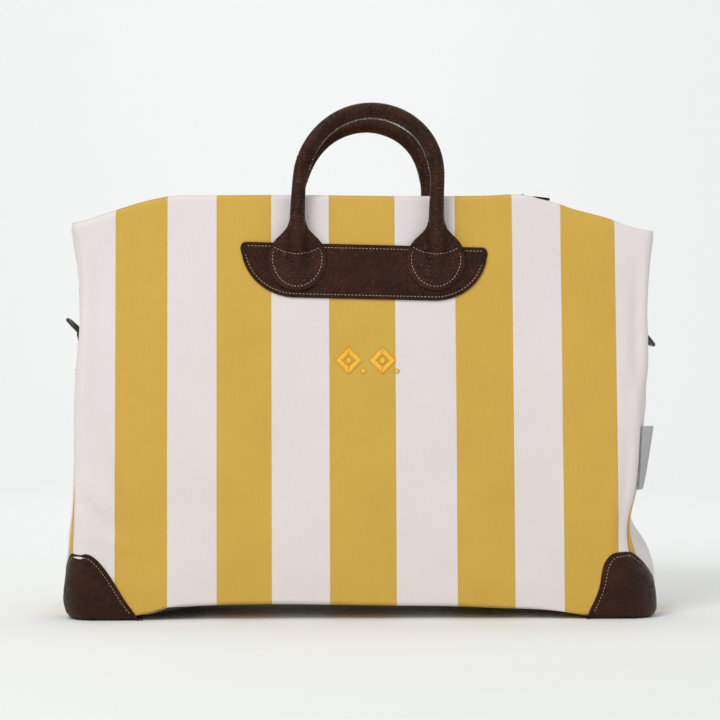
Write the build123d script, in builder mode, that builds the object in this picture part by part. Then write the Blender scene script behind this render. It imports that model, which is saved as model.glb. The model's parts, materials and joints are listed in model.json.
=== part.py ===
from build123d import *
from math import acos, atan2, cos, hypot, radians, sin
import os

# A weekender bag: a soft canvas body on an arched base with leather corners, a flat
# zipped top that slopes down to two shoulders, a rolled leather handle on each long
# face and a strap ring on each end. Millimetres. +Z is up, the origin is on the
# ground under the middle of the bag, the front faces -Y and the ends face -X and +X.

# ---------------------------------------------------------------- driving sizes
# Body
body_height = 402.0        # flat top above the ground
base_width = 554.0         # end to end, at the ground
base_depth = 190.0         # front to back, at the ground
top_depth = 128.0          # front to back, at the flat top
base_arch = 12.0           # the base is lifted this far between its corners
arch_half_flat = 146.0     # half length of the lifted part
arch_half_length = 212.0   # where the lift starts, from the middle
arch_blend_radius = 160.0
flat_top_length = 380.0    # level part of the top
shoulder_width = 554.0     # across the two top corners
shoulder_drop = 27.0       # top corners below the flat top
hip_height = 130.0
hip_width = 542.0
hip_bulge = 3.0            # how far the end stands out at its middle
waist_height = 268.0       # where the ends draw in most
waist_width = 540.0
top_bulge = 6.0
base_corner_radius = 22.0
hip_corner_radius = 14.0
waist_corner_radius = 10.0
top_corner_radius = 8.0
least_radius = 1.5
seam_inset = 8.0           # seams lie this far behind the front and back faces

# Cloth and leather thicknesses
canvas = 1.2
lining = 0.6
lining_gap = 0.3
board = 2.5
board_margin = 8.0
leather = 1.6
corner_reach = 64.0        # radius of a corner patch about its corner
touch = 0.05               # gap between pieces sewn flat on each other

# Zip
zip_mouth_half = 11.0      # half width of the slot in the canvas
mouth_left = 150.0         # the top lifts from here, left of the middle, when the zip is open
mouth_right = 105.0        # and to here, so that the slider has left before it lifts
end_stop_half = 172.0      # half length of the slot and of the zip
joint_gap = 0.3            # gap round anything that moves
tape_thickness = 0.7
tape_outer_half = 18.0
coil_inner_half = 0.7
coil_outer_half = 3.3
coil_height = 2.6
slider_park = 158.0        # slider's middle when the bag is closed
slider_length = 14.0
slider_half_width = 5.5
slider_tail_half_width = 4.2
slider_plate = 1.2
slider_post_half = 0.45
slider_flange = 1.1
slider_flange_share = 0.6  # of the slider's length
slider_post_length = 3.0
slider_post_from_end = 0.5
slider_taper_start = 0.2   # share of the half length past the middle
lug_wall = 0.9
lug_length = 5.0
lug_half_width = 1.5
lug_bore = 1.25
pull_pin = 1.17
pull_arm = 1.4
pull_reach = 9.0
pull_leather_length = 17.0
pull_leather_half_width = 4.0
zip_tab_length = 22.0
zip_tab_half_width = 14.0

# Handles
patch_half_length = 117.0
patch_flat_half_length = 66.0
patch_height = 52.0
patch_below_top = 44.0     # top edge of the patch below the flat top
grip_radius = 7.2          # outside of the rolled handle
grip_above_patch = 1.9     # the roll clears the patch by this much
grip_leather = 1.5
neck_below_top = 34.0      # hinge line of the handle below the flat top
neck_half_span = 66.0      # handle's feet from the middle
arch_radius = 63.0         # centre line of the handle's arch
arch_centre_above_top = 16.0
foot_half_width = 27.5
foot_half_height = 28.5
foot_centre_below_neck = 25.0
foot_thickness = 1.8
neck_gap = 0.5
neck_taper_length = 17.0
foot_nose_lift = 2.6       # middle of the taper's thin end above the patch

# Strap rings
ring_wire = 2.0            # radius of the wire
ring_inner_width = 26.0
ring_inner_depth = 13.0
ring_shoulder = 8.5        # the sides are straight up to here, then draw in
ring_nose_half = 7.0
ring_corner_radius = 2.6
ring_bore_clearance = 0.06
ring_tab_top = 276.5        # top of the folded tab above the ground
ring_tab_length = 46.0
ring_bar_drop = 1.0        # top of the loop below the top of the tab
ring_tab_half_width = 11.0
ring_tab_leather = 1.8
ring_tilt = 45.0           # the left ring stands this far up, the right one hangs as far

# Trim
label_length = 62.0
label_width = 13.0
label_thickness = 0.6
label_height = 122.0       # bottom of the label above the ground
label_splay = 62.0         # turned back from straight out of the side
badge_below_top = 148.0    # middle of the embroidered badge below the flat top
badge_half_width = 11.0
badge_half_height = 12.0
badge_spacing = 33.0
badge_dot = 2.4
badge_thickness = 0.8
pocket_width = 260.0
pocket_height = 150.0
pocket_floor = 110.0
pocket_cloth = 0.6

# ---------------------------------------------------------------- worked out
half_flat = flat_top_length / 2
shoulder_height = body_height - shoulder_drop
face_slope = (base_depth - top_depth) / 2 / body_height
below_ground = -6.0
reach = 400.0              # past the bag on every side, for cutting blocks


def half_depth(height):
    """Half the front to back depth at a height: the long faces are flat and lean in."""
    return base_depth / 2 - face_slope * height


rise = (body_height - waist_height) / (shoulder_height - waist_height)
top_width = waist_width + (shoulder_width - waist_width) * rise
# height, half width, corner radius, bulge
sections = [
    (below_ground, base_width / 2, base_corner_radius, 0.0),
    (hip_height, hip_width / 2, hip_corner_radius, hip_bulge),
    (waist_height, waist_width / 2, waist_corner_radius, 0.0),
    (body_height, top_width / 2, top_corner_radius, top_bulge),
]


def end_x(height):
    """X of the end face on the bag's middle line."""
    for low, high in zip(sections, sections[1:]):
        if height <= high[0]:
            share = (height - low[0]) / (high[0] - low[0])
            low_x, high_x = low[1] + low[3], high[1] + high[3]
            return low_x + share * (high_x - low_x)
    return sections[-1][1]


def ground_block(lift):
    """Everything below the arched base, with the whole base raised by lift."""
    foot = leather + touch + lift
    with BuildPart() as block:
        with BuildSketch(Plane.XZ):
            with BuildLine():
                FilletPolyline(
                    (-reach, foot), (-arch_half_length, foot),
                    (-arch_half_flat, foot + base_arch), (arch_half_flat, foot + base_arch),
                    (arch_half_length, foot), (reach, foot),
                    radius=arch_blend_radius,
                )
                Polyline((reach, foot), (reach, -reach), (-reach, -reach), (-reach, foot))
            make_face()
        extrude(amount=reach, both=True)
    return block.part


def sky_block(drop):
    """Everything above the flat top and its two slopes, lowered by drop."""
    run = shoulder_width / 2 - half_flat
    far = shoulder_drop * (reach - half_flat) / run
    with BuildPart() as block:
        with BuildSketch(Plane.XZ):
            with BuildLine():
                Polyline(
                    (-half_flat, body_height - drop), (half_flat, body_height - drop),
                    (reach, body_height - drop - far), (reach, body_height + reach),
                    (-reach, body_height + reach), (-reach, body_height - drop - far),
                    close=True,
                )
            make_face()
        extrude(amount=reach, both=True)
    return block.part


def bag_form(inset):
    """The bag as one closed form, drawn in by inset on every side."""
    with BuildPart() as body:
        for height, half_width, radius, bulge in sections:
            x = half_width - inset
            y = half_depth(height) - inset
            r = max(radius - inset, least_radius)
            with BuildSketch(Plane.XY.offset(height)):
                with BuildLine():
                    Line((-x + r, -y), (x - r, -y))
                    CenterArc((x - r, -y + r), r, -90, 90)
                    if bulge:
                        ThreePointArc((x, -y + r), (x + bulge, 0), (x, y - r))
                    else:
                        Line((x, -y + r), (x, y - r))
                    CenterArc((x - r, y - r), r, 0, 90)
                    Line((x - r, y), (-x + r, y))
                    CenterArc((-x + r, y - r), r, 90, 90)
                    if bulge:
                        ThreePointArc((-x, y - r), (-x - bulge, 0), (-x, -y + r))
                    else:
                        Line((-x, y - r), (-x, -y + r))
                    CenterArc((-x + r, -y + r), r, 180, 90)
                make_face()
        loft(ruled=True)
        add(ground_block(inset), mode=Mode.SUBTRACT)
        add(sky_block(inset), mode=Mode.SUBTRACT)
    return body.part


def skin(outer, inner):
    """The layer between two drawn-in forms."""
    with BuildPart() as layer:
        add(bag_form(outer))
        add(bag_form(inner), mode=Mode.SUBTRACT)
    return layer.part


# Planes that lean with the long faces. X runs along the bag, Y up the face, Z outwards.
front_face = Plane(
    origin=(0, -half_depth(body_height), body_height), x_dir=(1, 0, 0),
    z_dir=(0, -1, face_slope),
)
back_face = Plane(
    origin=(0, half_depth(body_height), body_height), x_dir=(-1, 0, 0),
    z_dir=(0, 1, face_slope),
)
front_seam = front_face.offset(-seam_inset)
back_seam = back_face.offset(-seam_inset)
middle = Plane.YZ
hinge_y = half_depth(body_height) - seam_inset


def finish(piece, name):
    """Names a piece and writes its STEP file."""
    piece.label = name
    export_step(piece, f"parts/{name}.step")
    return piece


def wall_pieces(layer, drop, top_drop, names):
    """Cuts a layer into its front, back, left and right walls, open to the top skin."""
    front, back, left, right = names
    with BuildPart() as front_wall:
        add(layer)
        split(bisect_by=front_seam, keep=Keep.TOP)
        add(ground_block(drop), mode=Mode.SUBTRACT)
    with BuildPart() as back_wall:
        add(layer)
        split(bisect_by=back_seam, keep=Keep.TOP)
        add(ground_block(drop), mode=Mode.SUBTRACT)
    with BuildPart() as ends:
        add(layer)
        split(bisect_by=front_seam, keep=Keep.BOTTOM)
        split(bisect_by=back_seam, keep=Keep.BOTTOM)
        add(ground_block(drop), mode=Mode.SUBTRACT)
        add(sky_block(top_drop), mode=Mode.SUBTRACT)
    with BuildPart() as right_wall:
        add(ends.part)
        split(bisect_by=middle, keep=Keep.TOP)
    with BuildPart() as left_wall:
        add(ends.part)
        split(bisect_by=middle, keep=Keep.BOTTOM)
    finish(front_wall.part, front)
    finish(back_wall.part, back)
    finish(left_wall.part, left)
    finish(right_wall.part, right)


def base_piece(outer, thickness, margin, name):
    """A floor layer: the arched slab that starts outer inside the form."""
    with BuildPart() as slab:
        add(bag_form(outer + margin))
        add(ground_block(outer + margin + thickness), mode=Mode.INTERSECT)
    with BuildPart() as lowered:
        add(slab.part.moved(Location((0, 0, -margin))))
    return finish(lowered.part, name)


os.makedirs("parts", exist_ok=True)

# ---------------------------------------------------------------- canvas body
canvas_skin = skin(0, canvas)
wall_pieces(
    canvas_skin, canvas, canvas, ("front_panel", "back_panel", "left_gusset", "right_gusset")
)
base_piece(0, canvas, 0, "base_panel")

lining_outer = canvas + lining_gap
lining_low = lining_outer + board + touch
lining_floor = lining_low + lining
lining_skin = skin(lining_outer, lining_outer + lining)


wall_pieces(
    lining_skin, lining_floor, lining_outer + lining,
    ("lining_front", "lining_back", "lining_left", "lining_right"),
)
base_piece(lining_outer, board, board_margin, "base_board")
base_piece(lining_low, lining, 0, "lining_base")

# Slip pocket, sewn flat on the back lining
pocket_wall = back_face.offset(-(lining_outer + lining + touch))
with BuildPart() as slip_pocket:
    with BuildSketch(pocket_wall):
        with Locations((0, pocket_floor + pocket_height / 2 - body_height)):
            RectangleRounded(pocket_width, pocket_height, 12)
    extrude(amount=-pocket_cloth)
finish(slip_pocket.part, "slip_pocket")

# ---------------------------------------------------------------- canvas top
top_seam = hinge_y - joint_gap
tape_top = body_height - canvas
mouth_low = joint_gap - mouth_left
mouth_high = mouth_right - joint_gap


def top_box(x_low, x_high, y_low, y_high, z_low, z_high):
    """A box between two corners."""
    with BuildPart() as block:
        with BuildSketch(Plane.XY.offset(z_low)):
            with Locations(((x_low + x_high) / 2, (y_low + y_high) / 2)):
                Rectangle(x_high - x_low, y_high - y_low)
        extrude(amount=z_high - z_low)
    return block.part


def both_ways(side):
    """Low and high Y of a stretch of the top, on the front (-1) or the back (1)."""
    return lambda near, far: (-far, -near) if side < 0 else (near, far)


for side, word in ((-1, "front"), (1, "back")):
    span = both_ways(side)
    flap = top_box(
        mouth_low, mouth_high, *span(zip_mouth_half, top_seam), tape_top, body_height
    )
    finish(flap, f"top_flap_{word}")
    tape = top_box(
        mouth_low, mouth_high, *span(coil_outer_half, tape_outer_half),
        tape_top - tape_thickness, tape_top,
    )
    finish(tape, f"zip_tape_{word}")
    facing = top_box(
        mouth_low, mouth_high, *span(tape_outer_half + touch, top_seam),
        tape_top - lining, tape_top,
    )
    finish(facing, f"flap_facing_{word}")
    coil_middle = tape_top - tape_thickness / 2
    coil = top_box(
        mouth_low, mouth_high, *span(coil_inner_half, coil_outer_half),
        coil_middle - coil_height / 2, coil_middle + coil_height / 2,
    )
    finish(coil, f"zip_coil_{word}")

with BuildPart() as top_skin:
    add(canvas_skin)
    split(bisect_by=front_seam, keep=Keep.BOTTOM)
    split(bisect_by=back_seam, keep=Keep.BOTTOM)
    add(sky_block(canvas), mode=Mode.INTERSECT)
    add(
        top_box(
            -mouth_left, mouth_right, -reach, reach, body_height - 2 * canvas,
            body_height + canvas,
        ),
        mode=Mode.SUBTRACT,
    )
    add(
        top_box(
            -end_stop_half, end_stop_half, -zip_mouth_half, zip_mouth_half,
            body_height - 2 * canvas, body_height + canvas,
        ),
        mode=Mode.SUBTRACT,
    )

for end, word, keep, mouth_end in (
    (-1, "left", Keep.BOTTOM, mouth_left),
    (1, "right", Keep.TOP, mouth_right),
):
    with BuildPart() as top_end:
        add(top_skin.part)
        split(bisect_by=middle, keep=keep)
    finish(top_end.part, f"top_end_{word}")

    low, high = sorted((end * mouth_end, end * end_stop_half))
    with BuildPart() as zip_end:
        for side in (-1, 1):
            span = both_ways(side)
            add(
                top_box(
                    low, high, *span(coil_outer_half, tape_outer_half),
                    tape_top - tape_thickness, tape_top,
                )
            )
            add(
                top_box(
                    low, high, *span(coil_inner_half, coil_outer_half),
                    coil_middle - coil_height / 2, coil_middle + coil_height / 2,
                )
            )
    finish(zip_end.part, f"zip_end_{word}")

    tab_far = half_flat - touch
    tab_low, tab_high = sorted((end * (tab_far - zip_tab_length), end * tab_far))
    with BuildPart() as zip_tab:
        with BuildSketch(Plane.XY.offset(body_height + touch)):
            with Locations(((tab_low + tab_high) / 2, 0)):
                RectangleRounded(zip_tab_length, 2 * zip_tab_half_width, 5)
        extrude(amount=leather)
    finish(zip_tab.part, f"zip_tab_{word}")

# ---------------------------------------------------------------- zip slider and pull
coil_top = coil_middle + coil_height / 2
coil_bottom = coil_middle - coil_height / 2
top_plate_low = coil_top + joint_gap
bottom_plate_high = coil_bottom - joint_gap
pin_height = top_plate_low + slider_plate + lug_bore + lug_wall

# plan of the slider: wide where the two rows come in, narrow at its tail
slider_end = slider_length / 2
slider_outline = [
    (-slider_end, -slider_half_width), (slider_end * slider_taper_start, -slider_half_width),
    (slider_end, -slider_tail_half_width), (slider_end, slider_tail_half_width),
    (slider_end * slider_taper_start, slider_half_width), (-slider_end, slider_half_width),
]

with BuildPart() as zip_slider:
    with BuildSketch(Plane.XY.offset(top_plate_low)):
        with BuildLine():
            Polyline(*slider_outline, close=True)
        make_face()
    extrude(amount=slider_plate)
    with BuildSketch(Plane.XY.offset(bottom_plate_high)):
        with BuildLine():
            Polyline(*slider_outline, close=True)
        make_face()
    extrude(amount=-slider_plate)
    # post between the two rows, at the wide end
    with BuildSketch(Plane.XY.offset(bottom_plate_high)):
        with Locations((slider_post_from_end + (slider_post_length - slider_length) / 2, 0)):
            Rectangle(slider_post_length, 2 * slider_post_half)
    extrude(amount=top_plate_low - bottom_plate_high)
    # flanges that wrap the rows, clear of the tape
    flange_y = slider_half_width - slider_flange / 2
    flange_length = slider_length * slider_flange_share
    flange_x = (flange_length - slider_length) / 2
    flange_locations = [(flange_x, -flange_y), (flange_x, flange_y)]
    with BuildSketch(Plane.XY.offset(tape_top + joint_gap)):
        with Locations(*flange_locations):
            Rectangle(flange_length, slider_flange)
    extrude(amount=top_plate_low - tape_top - joint_gap)
    with BuildSketch(Plane.XY.offset(tape_top - tape_thickness - joint_gap)):
        with Locations(*flange_locations):
            Rectangle(flange_length, slider_flange)
    extrude(amount=-(tape_top - tape_thickness - joint_gap - bottom_plate_high))
    # lug for the pull
    lug_low = top_plate_low + slider_plate
    with BuildSketch(Plane.XZ.offset(-lug_half_width)):
        with Locations((0, (lug_low + pin_height) / 2)):
            Rectangle(lug_length, pin_height - lug_low)
        with Locations((0, pin_height)):
            Circle(lug_length / 2)
    extrude(amount=2 * lug_half_width)
    with BuildSketch(Plane.XZ.offset(-lug_half_width)):
        with Locations((0, pin_height)):
            Circle(lug_bore)
    extrude(amount=2 * lug_half_width, mode=Mode.SUBTRACT)
finish(zip_slider.part.moved(Location((slider_park, 0, 0))), "zip_slider")

arm_inner = lug_half_width + joint_gap
arm_outer = arm_inner + pull_arm
with BuildPart() as zip_pull:
    with BuildSketch(Plane.XZ.offset(-arm_outer)):
        with Locations((0, pin_height)):
            Circle(pull_pin)
    extrude(amount=2 * arm_outer)
    with BuildSketch(Plane.XY.offset(pin_height - pull_pin)):
        for y in (-(arm_inner + arm_outer) / 2, (arm_inner + arm_outer) / 2):
            with Locations((pull_reach / 2, y)):
                Rectangle(pull_reach, pull_arm)
        with Locations((pull_reach, 0)):
            Rectangle(pull_arm * 1.6, 2 * arm_outer)
    extrude(amount=2 * pull_pin)
finish(zip_pull.part.moved(Location((slider_park, 0, 0))), "zip_pull")

pull_leather_start = pull_reach + pull_arm * 0.8 + touch
with BuildPart() as pull_leather:
    with BuildSketch(Plane.XY.offset(pin_height - pull_pin)):
        with Locations((pull_leather_start + pull_leather_length / 2, 0)):
            RectangleRounded(pull_leather_length, 2 * pull_leather_half_width, 2.5)
    extrude(amount=2 * pull_pin)
finish(pull_leather.part.moved(Location((slider_park, 0, 0))), "pull_leather")

# ---------------------------------------------------------------- leather corners
corner_layer = skin(-(leather + touch), -touch)
corner_spots = {
    "corner_front_left": (-1, -1),
    "corner_front_right": (1, -1),
    "corner_back_left": (-1, 1),
    "corner_back_right": (1, 1),
}
for name, (across, along) in corner_spots.items():
    with BuildPart() as corner:
        add(corner_layer)
        with Locations((across * base_width / 2, along * base_depth / 2, 0)):
            Sphere(corner_reach, mode=Mode.INTERSECT)
    finish(corner.part, name)

# ---------------------------------------------------------------- handles
patch_outside = touch + leather
grip_off_face = patch_outside + touch + grip_above_patch + grip_radius
patch_top = -patch_below_top
neck = -neck_below_top
arch_centre = arch_centre_above_top

# The legs run straight from the neck and meet the arch as tangents.
foot_to_centre = hypot(neck_half_span, arch_centre - neck)
tangent_angle = atan2(neck - arch_centre, neck_half_span) + acos(arch_radius / foot_to_centre)
tangent = (
    arch_radius * cos(tangent_angle),
    arch_centre + arch_radius * sin(tangent_angle),
)


def grip(face, radius):
    """The handle's arch as a round rod, in a plane along its face."""
    lifted = face.offset(grip_off_face)
    foot = lifted.from_local_coords((-neck_half_span, neck, 0))
    up = lifted.from_local_coords((-tangent[0], tangent[1], 0)) - foot
    with BuildPart() as bar:
        with BuildLine(lifted) as path:
            Line((-neck_half_span, neck), (-tangent[0], tangent[1]))
            ThreePointArc(
                (-tangent[0], tangent[1]), (0, arch_centre + arch_radius), tangent
            )
            Line(tangent, (neck_half_span, neck))
        with BuildSketch(Plane(origin=foot, z_dir=up)):
            Circle(radius)
        sweep(path=path.wires()[0])
    return bar.part


def neck_cut(face):
    """Clears the handle's foot, so that the grip can turn down in front of it."""
    with BuildPart() as clear:
        for x in (-neck_half_span, neck_half_span):
            with Locations(face.offset(grip_off_face)):
                with Locations((x, neck, 0)):
                    Sphere(grip_radius + neck_gap)
    return clear.part


for face, word in ((front_face, "front"), (back_face, "back")):
    with BuildPart() as handle_patch:
        with BuildSketch(face.offset(touch)):
            with BuildLine():
                Line((-patch_half_length, patch_top), (patch_half_length, patch_top))
                EllipticalCenterArc(
                    (patch_flat_half_length, patch_top),
                    patch_half_length - patch_flat_half_length, patch_height,
                    start_angle=-90, arc_size=90,
                )
                Line(
                    (patch_flat_half_length, patch_top - patch_height),
                    (-patch_flat_half_length, patch_top - patch_height),
                )
                EllipticalCenterArc(
                    (-patch_flat_half_length, patch_top),
                    patch_half_length - patch_flat_half_length, patch_height,
                    start_angle=180, arc_size=90,
                )
            make_face()
        extrude(amount=leather)
    finish(handle_patch.part, f"handle_patch_{word}")

    for across, hand in ((-1, "left"), (1, "right")):
        foot_x = across * neck_half_span * (1 if word == "front" else -1)
        foot_plane = face.offset(patch_outside + touch)
        neck_low = neck - grip_radius - neck_gap
        with BuildPart() as handle_foot:
            with BuildSketch(foot_plane):
                with Locations((foot_x, neck - foot_centre_below_neck)):
                    Ellipse(foot_half_width, foot_half_height)
                with Locations((foot_x, neck)):
                    Rectangle(4 * foot_half_width, 2 * (neck - neck_low), mode=Mode.SUBTRACT)
            extrude(amount=foot_thickness)
            # the end of the roll, tapering down into the foot
            with BuildSketch(Plane(
                origin=face.offset(grip_off_face).from_local_coords((foot_x, neck_low, 0)),
                x_dir=(1, 0, 0), z_dir=face.y_dir,
            )):
                Circle(grip_radius)
            with BuildSketch(Plane(
                origin=face.offset(patch_outside + touch + foot_nose_lift).from_local_coords(
                    (foot_x, neck_low - neck_taper_length, 0)
                ),
                x_dir=(1, 0, 0), z_dir=face.y_dir,
            )):
                Ellipse(foot_half_width * 0.62, 2.5)
            loft()
            add(neck_cut(face), mode=Mode.SUBTRACT)
        finish(handle_foot.part, f"handle_foot_{word}_{hand}")

    bore = grip_radius - grip_leather
    with BuildPart() as handle:
        add(grip(face, grip_radius))
        with Locations(face.offset(grip_off_face)):
            with Locations((-neck_half_span, neck, 0), (neck_half_span, neck, 0)):
                Sphere(grip_radius)
        add(grip(face, bore), mode=Mode.SUBTRACT)
    finish(handle.part, f"handle_{word}")
    with BuildPart() as handle_core:
        add(grip(face, bore))
    finish(handle_core.part, f"handle_core_{word}")

# ---------------------------------------------------------------- strap rings
loop_outer = ring_wire + ring_bore_clearance + ring_tab_leather
end_slope = (end_x(ring_tab_top - ring_tab_length) - end_x(ring_tab_top)) / ring_tab_length

for across, hand, tilt in ((-1, "left", ring_tilt), (1, "right", -ring_tilt)):
    # Local frame on the end: X up the end, Y outwards, extruded along the bag's depth.
    up = Vector(-across * end_slope, 0, 1)
    wall = Vector(across * (end_x(ring_tab_top) + touch), 0, ring_tab_top)
    tab_plane = Plane(origin=wall, x_dir=up, z_dir=(0, across, 0))
    loop_low = -loop_outer - ring_bar_drop
    with BuildPart() as ring_tab:
        with BuildSketch(tab_plane.offset(-ring_tab_half_width)):
            with BuildLine():
                Polyline(
                    (loop_low, 0), (-ring_tab_length, 0),
                    (-ring_tab_length, 2 * ring_tab_leather), (loop_low, 2 * ring_tab_leather),
                    close=True,
                )
            make_face()
            with Locations((loop_low, loop_outer)):
                Circle(loop_outer)
            with Locations((loop_low, loop_outer)):
                Circle(ring_wire + ring_bore_clearance, mode=Mode.SUBTRACT)
        extrude(amount=2 * ring_tab_half_width)
    finish(ring_tab.part, f"ring_tab_{hand}")

    bar = tab_plane.from_local_coords((loop_low, loop_outer, 0))
    ring_out = Vector(across * cos(radians(tilt)), 0, sin(radians(tilt)))
    ring_plane = Plane(origin=bar, x_dir=(0, 1, 0), z_dir=ring_out.cross(Vector(0, 1, 0)) * -1)
    half_bar = ring_inner_width / 2 + ring_wire
    depth = ring_inner_depth + 2 * ring_wire
    with BuildSketch(ring_plane) as ring_outline:
        Polygon(
            (-half_bar, 0), (half_bar, 0), (half_bar, ring_shoulder), (ring_nose_half, depth),
            (-ring_nose_half, depth), (-half_bar, ring_shoulder), align=None,
        )
        fillet(ring_outline.vertices(), ring_corner_radius)
    ring_path = ring_outline.sketch.faces()[0].outer_wire()
    with BuildPart() as d_ring:
        with BuildSketch(Plane(origin=ring_path @ 0, z_dir=ring_path % 0)):
            Circle(ring_wire)
        sweep(path=ring_path)
    finish(d_ring.part, f"d_ring_{hand}")
    print(hand, "ring bar at", [round(v, 3) for v in bar])

# ---------------------------------------------------------------- label and badge
seam_x = hip_width / 2 + 0.4
seam_y = -(half_depth(label_height) - seam_inset - 2)
out_x, out_y = cos(radians(label_splay)), sin(radians(label_splay))
with BuildPart() as side_label:
    with BuildSketch(Plane(
        origin=(seam_x, seam_y, label_height), x_dir=(out_x, out_y, 0),
        z_dir=(out_y, -out_x, 0),
    )):
        with Locations((label_width / 2, label_length / 2)):
            Rectangle(label_width, label_length)
    extrude(amount=label_thickness)
finish(side_label.part, "side_label")

with BuildPart() as badge:
    with BuildSketch(front_face.offset(touch)):
        for x in (-badge_spacing / 2, badge_spacing / 2):
            with BuildLine():
                Polyline(
                    (x - badge_half_width, -badge_below_top),
                    (x, badge_half_height - badge_below_top),
                    (x + badge_half_width, -badge_below_top),
                    (x, -badge_half_height - badge_below_top),
                    close=True,
                )
            make_face()
        with Locations((0, -badge_below_top)):
            Circle(badge_dot)
    extrude(amount=badge_thickness)
finish(badge.part, "badge")

pivot = front_face.offset(grip_off_face).from_local_coords((0, neck, 0))
print("handle hinge", [round(v, 3) for v in pivot])
print("flap hinge y", round(hinge_y, 3), "z", body_height)
print("pull pin z", round(pin_height, 3))
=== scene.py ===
import bmesh
import bpy
import json
import math
import numpy as np
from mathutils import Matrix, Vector


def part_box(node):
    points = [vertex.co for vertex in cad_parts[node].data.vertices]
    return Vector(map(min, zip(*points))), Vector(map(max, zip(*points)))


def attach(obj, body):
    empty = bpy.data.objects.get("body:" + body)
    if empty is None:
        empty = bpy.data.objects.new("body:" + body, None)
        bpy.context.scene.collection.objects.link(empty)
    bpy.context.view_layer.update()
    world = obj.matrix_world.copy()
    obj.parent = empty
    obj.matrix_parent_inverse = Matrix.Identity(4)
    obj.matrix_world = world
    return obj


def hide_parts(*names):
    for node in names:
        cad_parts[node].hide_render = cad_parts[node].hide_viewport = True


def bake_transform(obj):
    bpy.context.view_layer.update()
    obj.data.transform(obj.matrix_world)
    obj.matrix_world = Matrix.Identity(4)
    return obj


# A striped canvas weekender bag with leather corners and rolled handles.
# Lengths are millimetres until makeSurface turns them into metres.
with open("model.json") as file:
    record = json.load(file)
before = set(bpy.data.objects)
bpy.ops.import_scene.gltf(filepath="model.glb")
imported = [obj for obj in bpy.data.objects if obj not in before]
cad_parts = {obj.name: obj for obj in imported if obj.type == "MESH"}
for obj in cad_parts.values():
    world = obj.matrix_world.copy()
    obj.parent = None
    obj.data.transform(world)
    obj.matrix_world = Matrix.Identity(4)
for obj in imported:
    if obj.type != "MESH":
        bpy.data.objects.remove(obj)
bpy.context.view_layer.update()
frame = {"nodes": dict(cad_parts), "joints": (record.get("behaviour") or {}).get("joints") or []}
mm = 0.001
joints = {j["name"]: j for j in frame["joints"]}


def hingePlace(jointName):
    # a joint's point in millimetres
    return np.array(joints[jointName]["pos_m"], float) / mm


def boxOf(nodeName):
    # a CAD piece's lowest and highest corners in millimetres
    low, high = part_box(nodeName)
    return np.array(low) / mm, np.array(high) / mm


# ---- small numpy helpers

def smoothStep(t):
    t = np.clip(t, 0, 1)
    return t * t * (3 - 2 * t)


def through(at, knots):
    # a Hermite curve through given knots (place, value), its slopes taken from the neighbours
    x, y = np.array(knots, float).T
    slope = np.gradient(y, x)
    at = np.clip(at, x[0], x[-1])
    i = np.clip(np.searchsorted(x, at, side="right") - 1, 0, len(x) - 2)
    h = x[i + 1] - x[i]
    t = (at - x[i]) / h
    ends = (2 * t**3 - 3 * t**2 + 1) * y[i] + (3 * t**2 - 2 * t**3) * y[i + 1]
    return ends + (t**3 - 2 * t**2 + t) * h * slope[i] + (t**3 - t**2) * h * slope[i + 1]


def softNoise(a, b, size, seed, waves=10):
    # a sum of plane waves of random direction and phase, about -1 to 1, features about size long
    rng = np.random.default_rng(seed)
    total = 0
    for _ in range(waves):
        turn, length, phase = rng.uniform(0, 6.283), size * rng.uniform(0.7, 1.8), rng.uniform(0, 6.283)
        total = total + np.sin((a * np.cos(turn) + b * np.sin(turn)) * 6.283 / length + phase)
    return total / math.sqrt(waves)


def unit(v):
    return v / np.maximum(np.linalg.norm(v, axis=-1, keepdims=True), 1e-9)


def gridNormals(points):
    # cross product of the two grid directions at each point
    return unit(np.cross(np.gradient(points, axis=1), np.gradient(points, axis=0)))


def stack(*parts):
    # coordinates spread over one grid, two for a map or three for places
    return np.stack(np.broadcast_arrays(*parts), axis=-1)


def onGrid(grid, rowAt, columnAt):
    # a grid's values between its points, in straight steps both ways
    r, c = np.clip(rowAt, 0, grid.shape[0] - 1.001), np.clip(columnAt, 0, grid.shape[1] - 1.001)
    i, j = r.astype(int), c.astype(int)
    a, b = (r - i)[:, None], (c - j)[:, None]
    low, high = grid[i, j] * (1 - b) + grid[i, j + 1] * b, grid[i + 1, j] * (1 - b) + grid[i + 1, j + 1] * b
    return low * (1 - a) + high * a


def resample(points, step):
    # points spaced evenly along a line, about step apart
    gaps = np.linalg.norm(np.diff(points, axis=0), axis=1)
    along = np.concatenate([[0], np.cumsum(gaps)])
    count = max(2, int(round(along[-1] / step)) + 1)
    at = np.linspace(0, along[-1], count)
    return np.stack([np.interp(at, along, points[:, k]) for k in range(points.shape[1])], axis=1)


# ---- meshes

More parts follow.
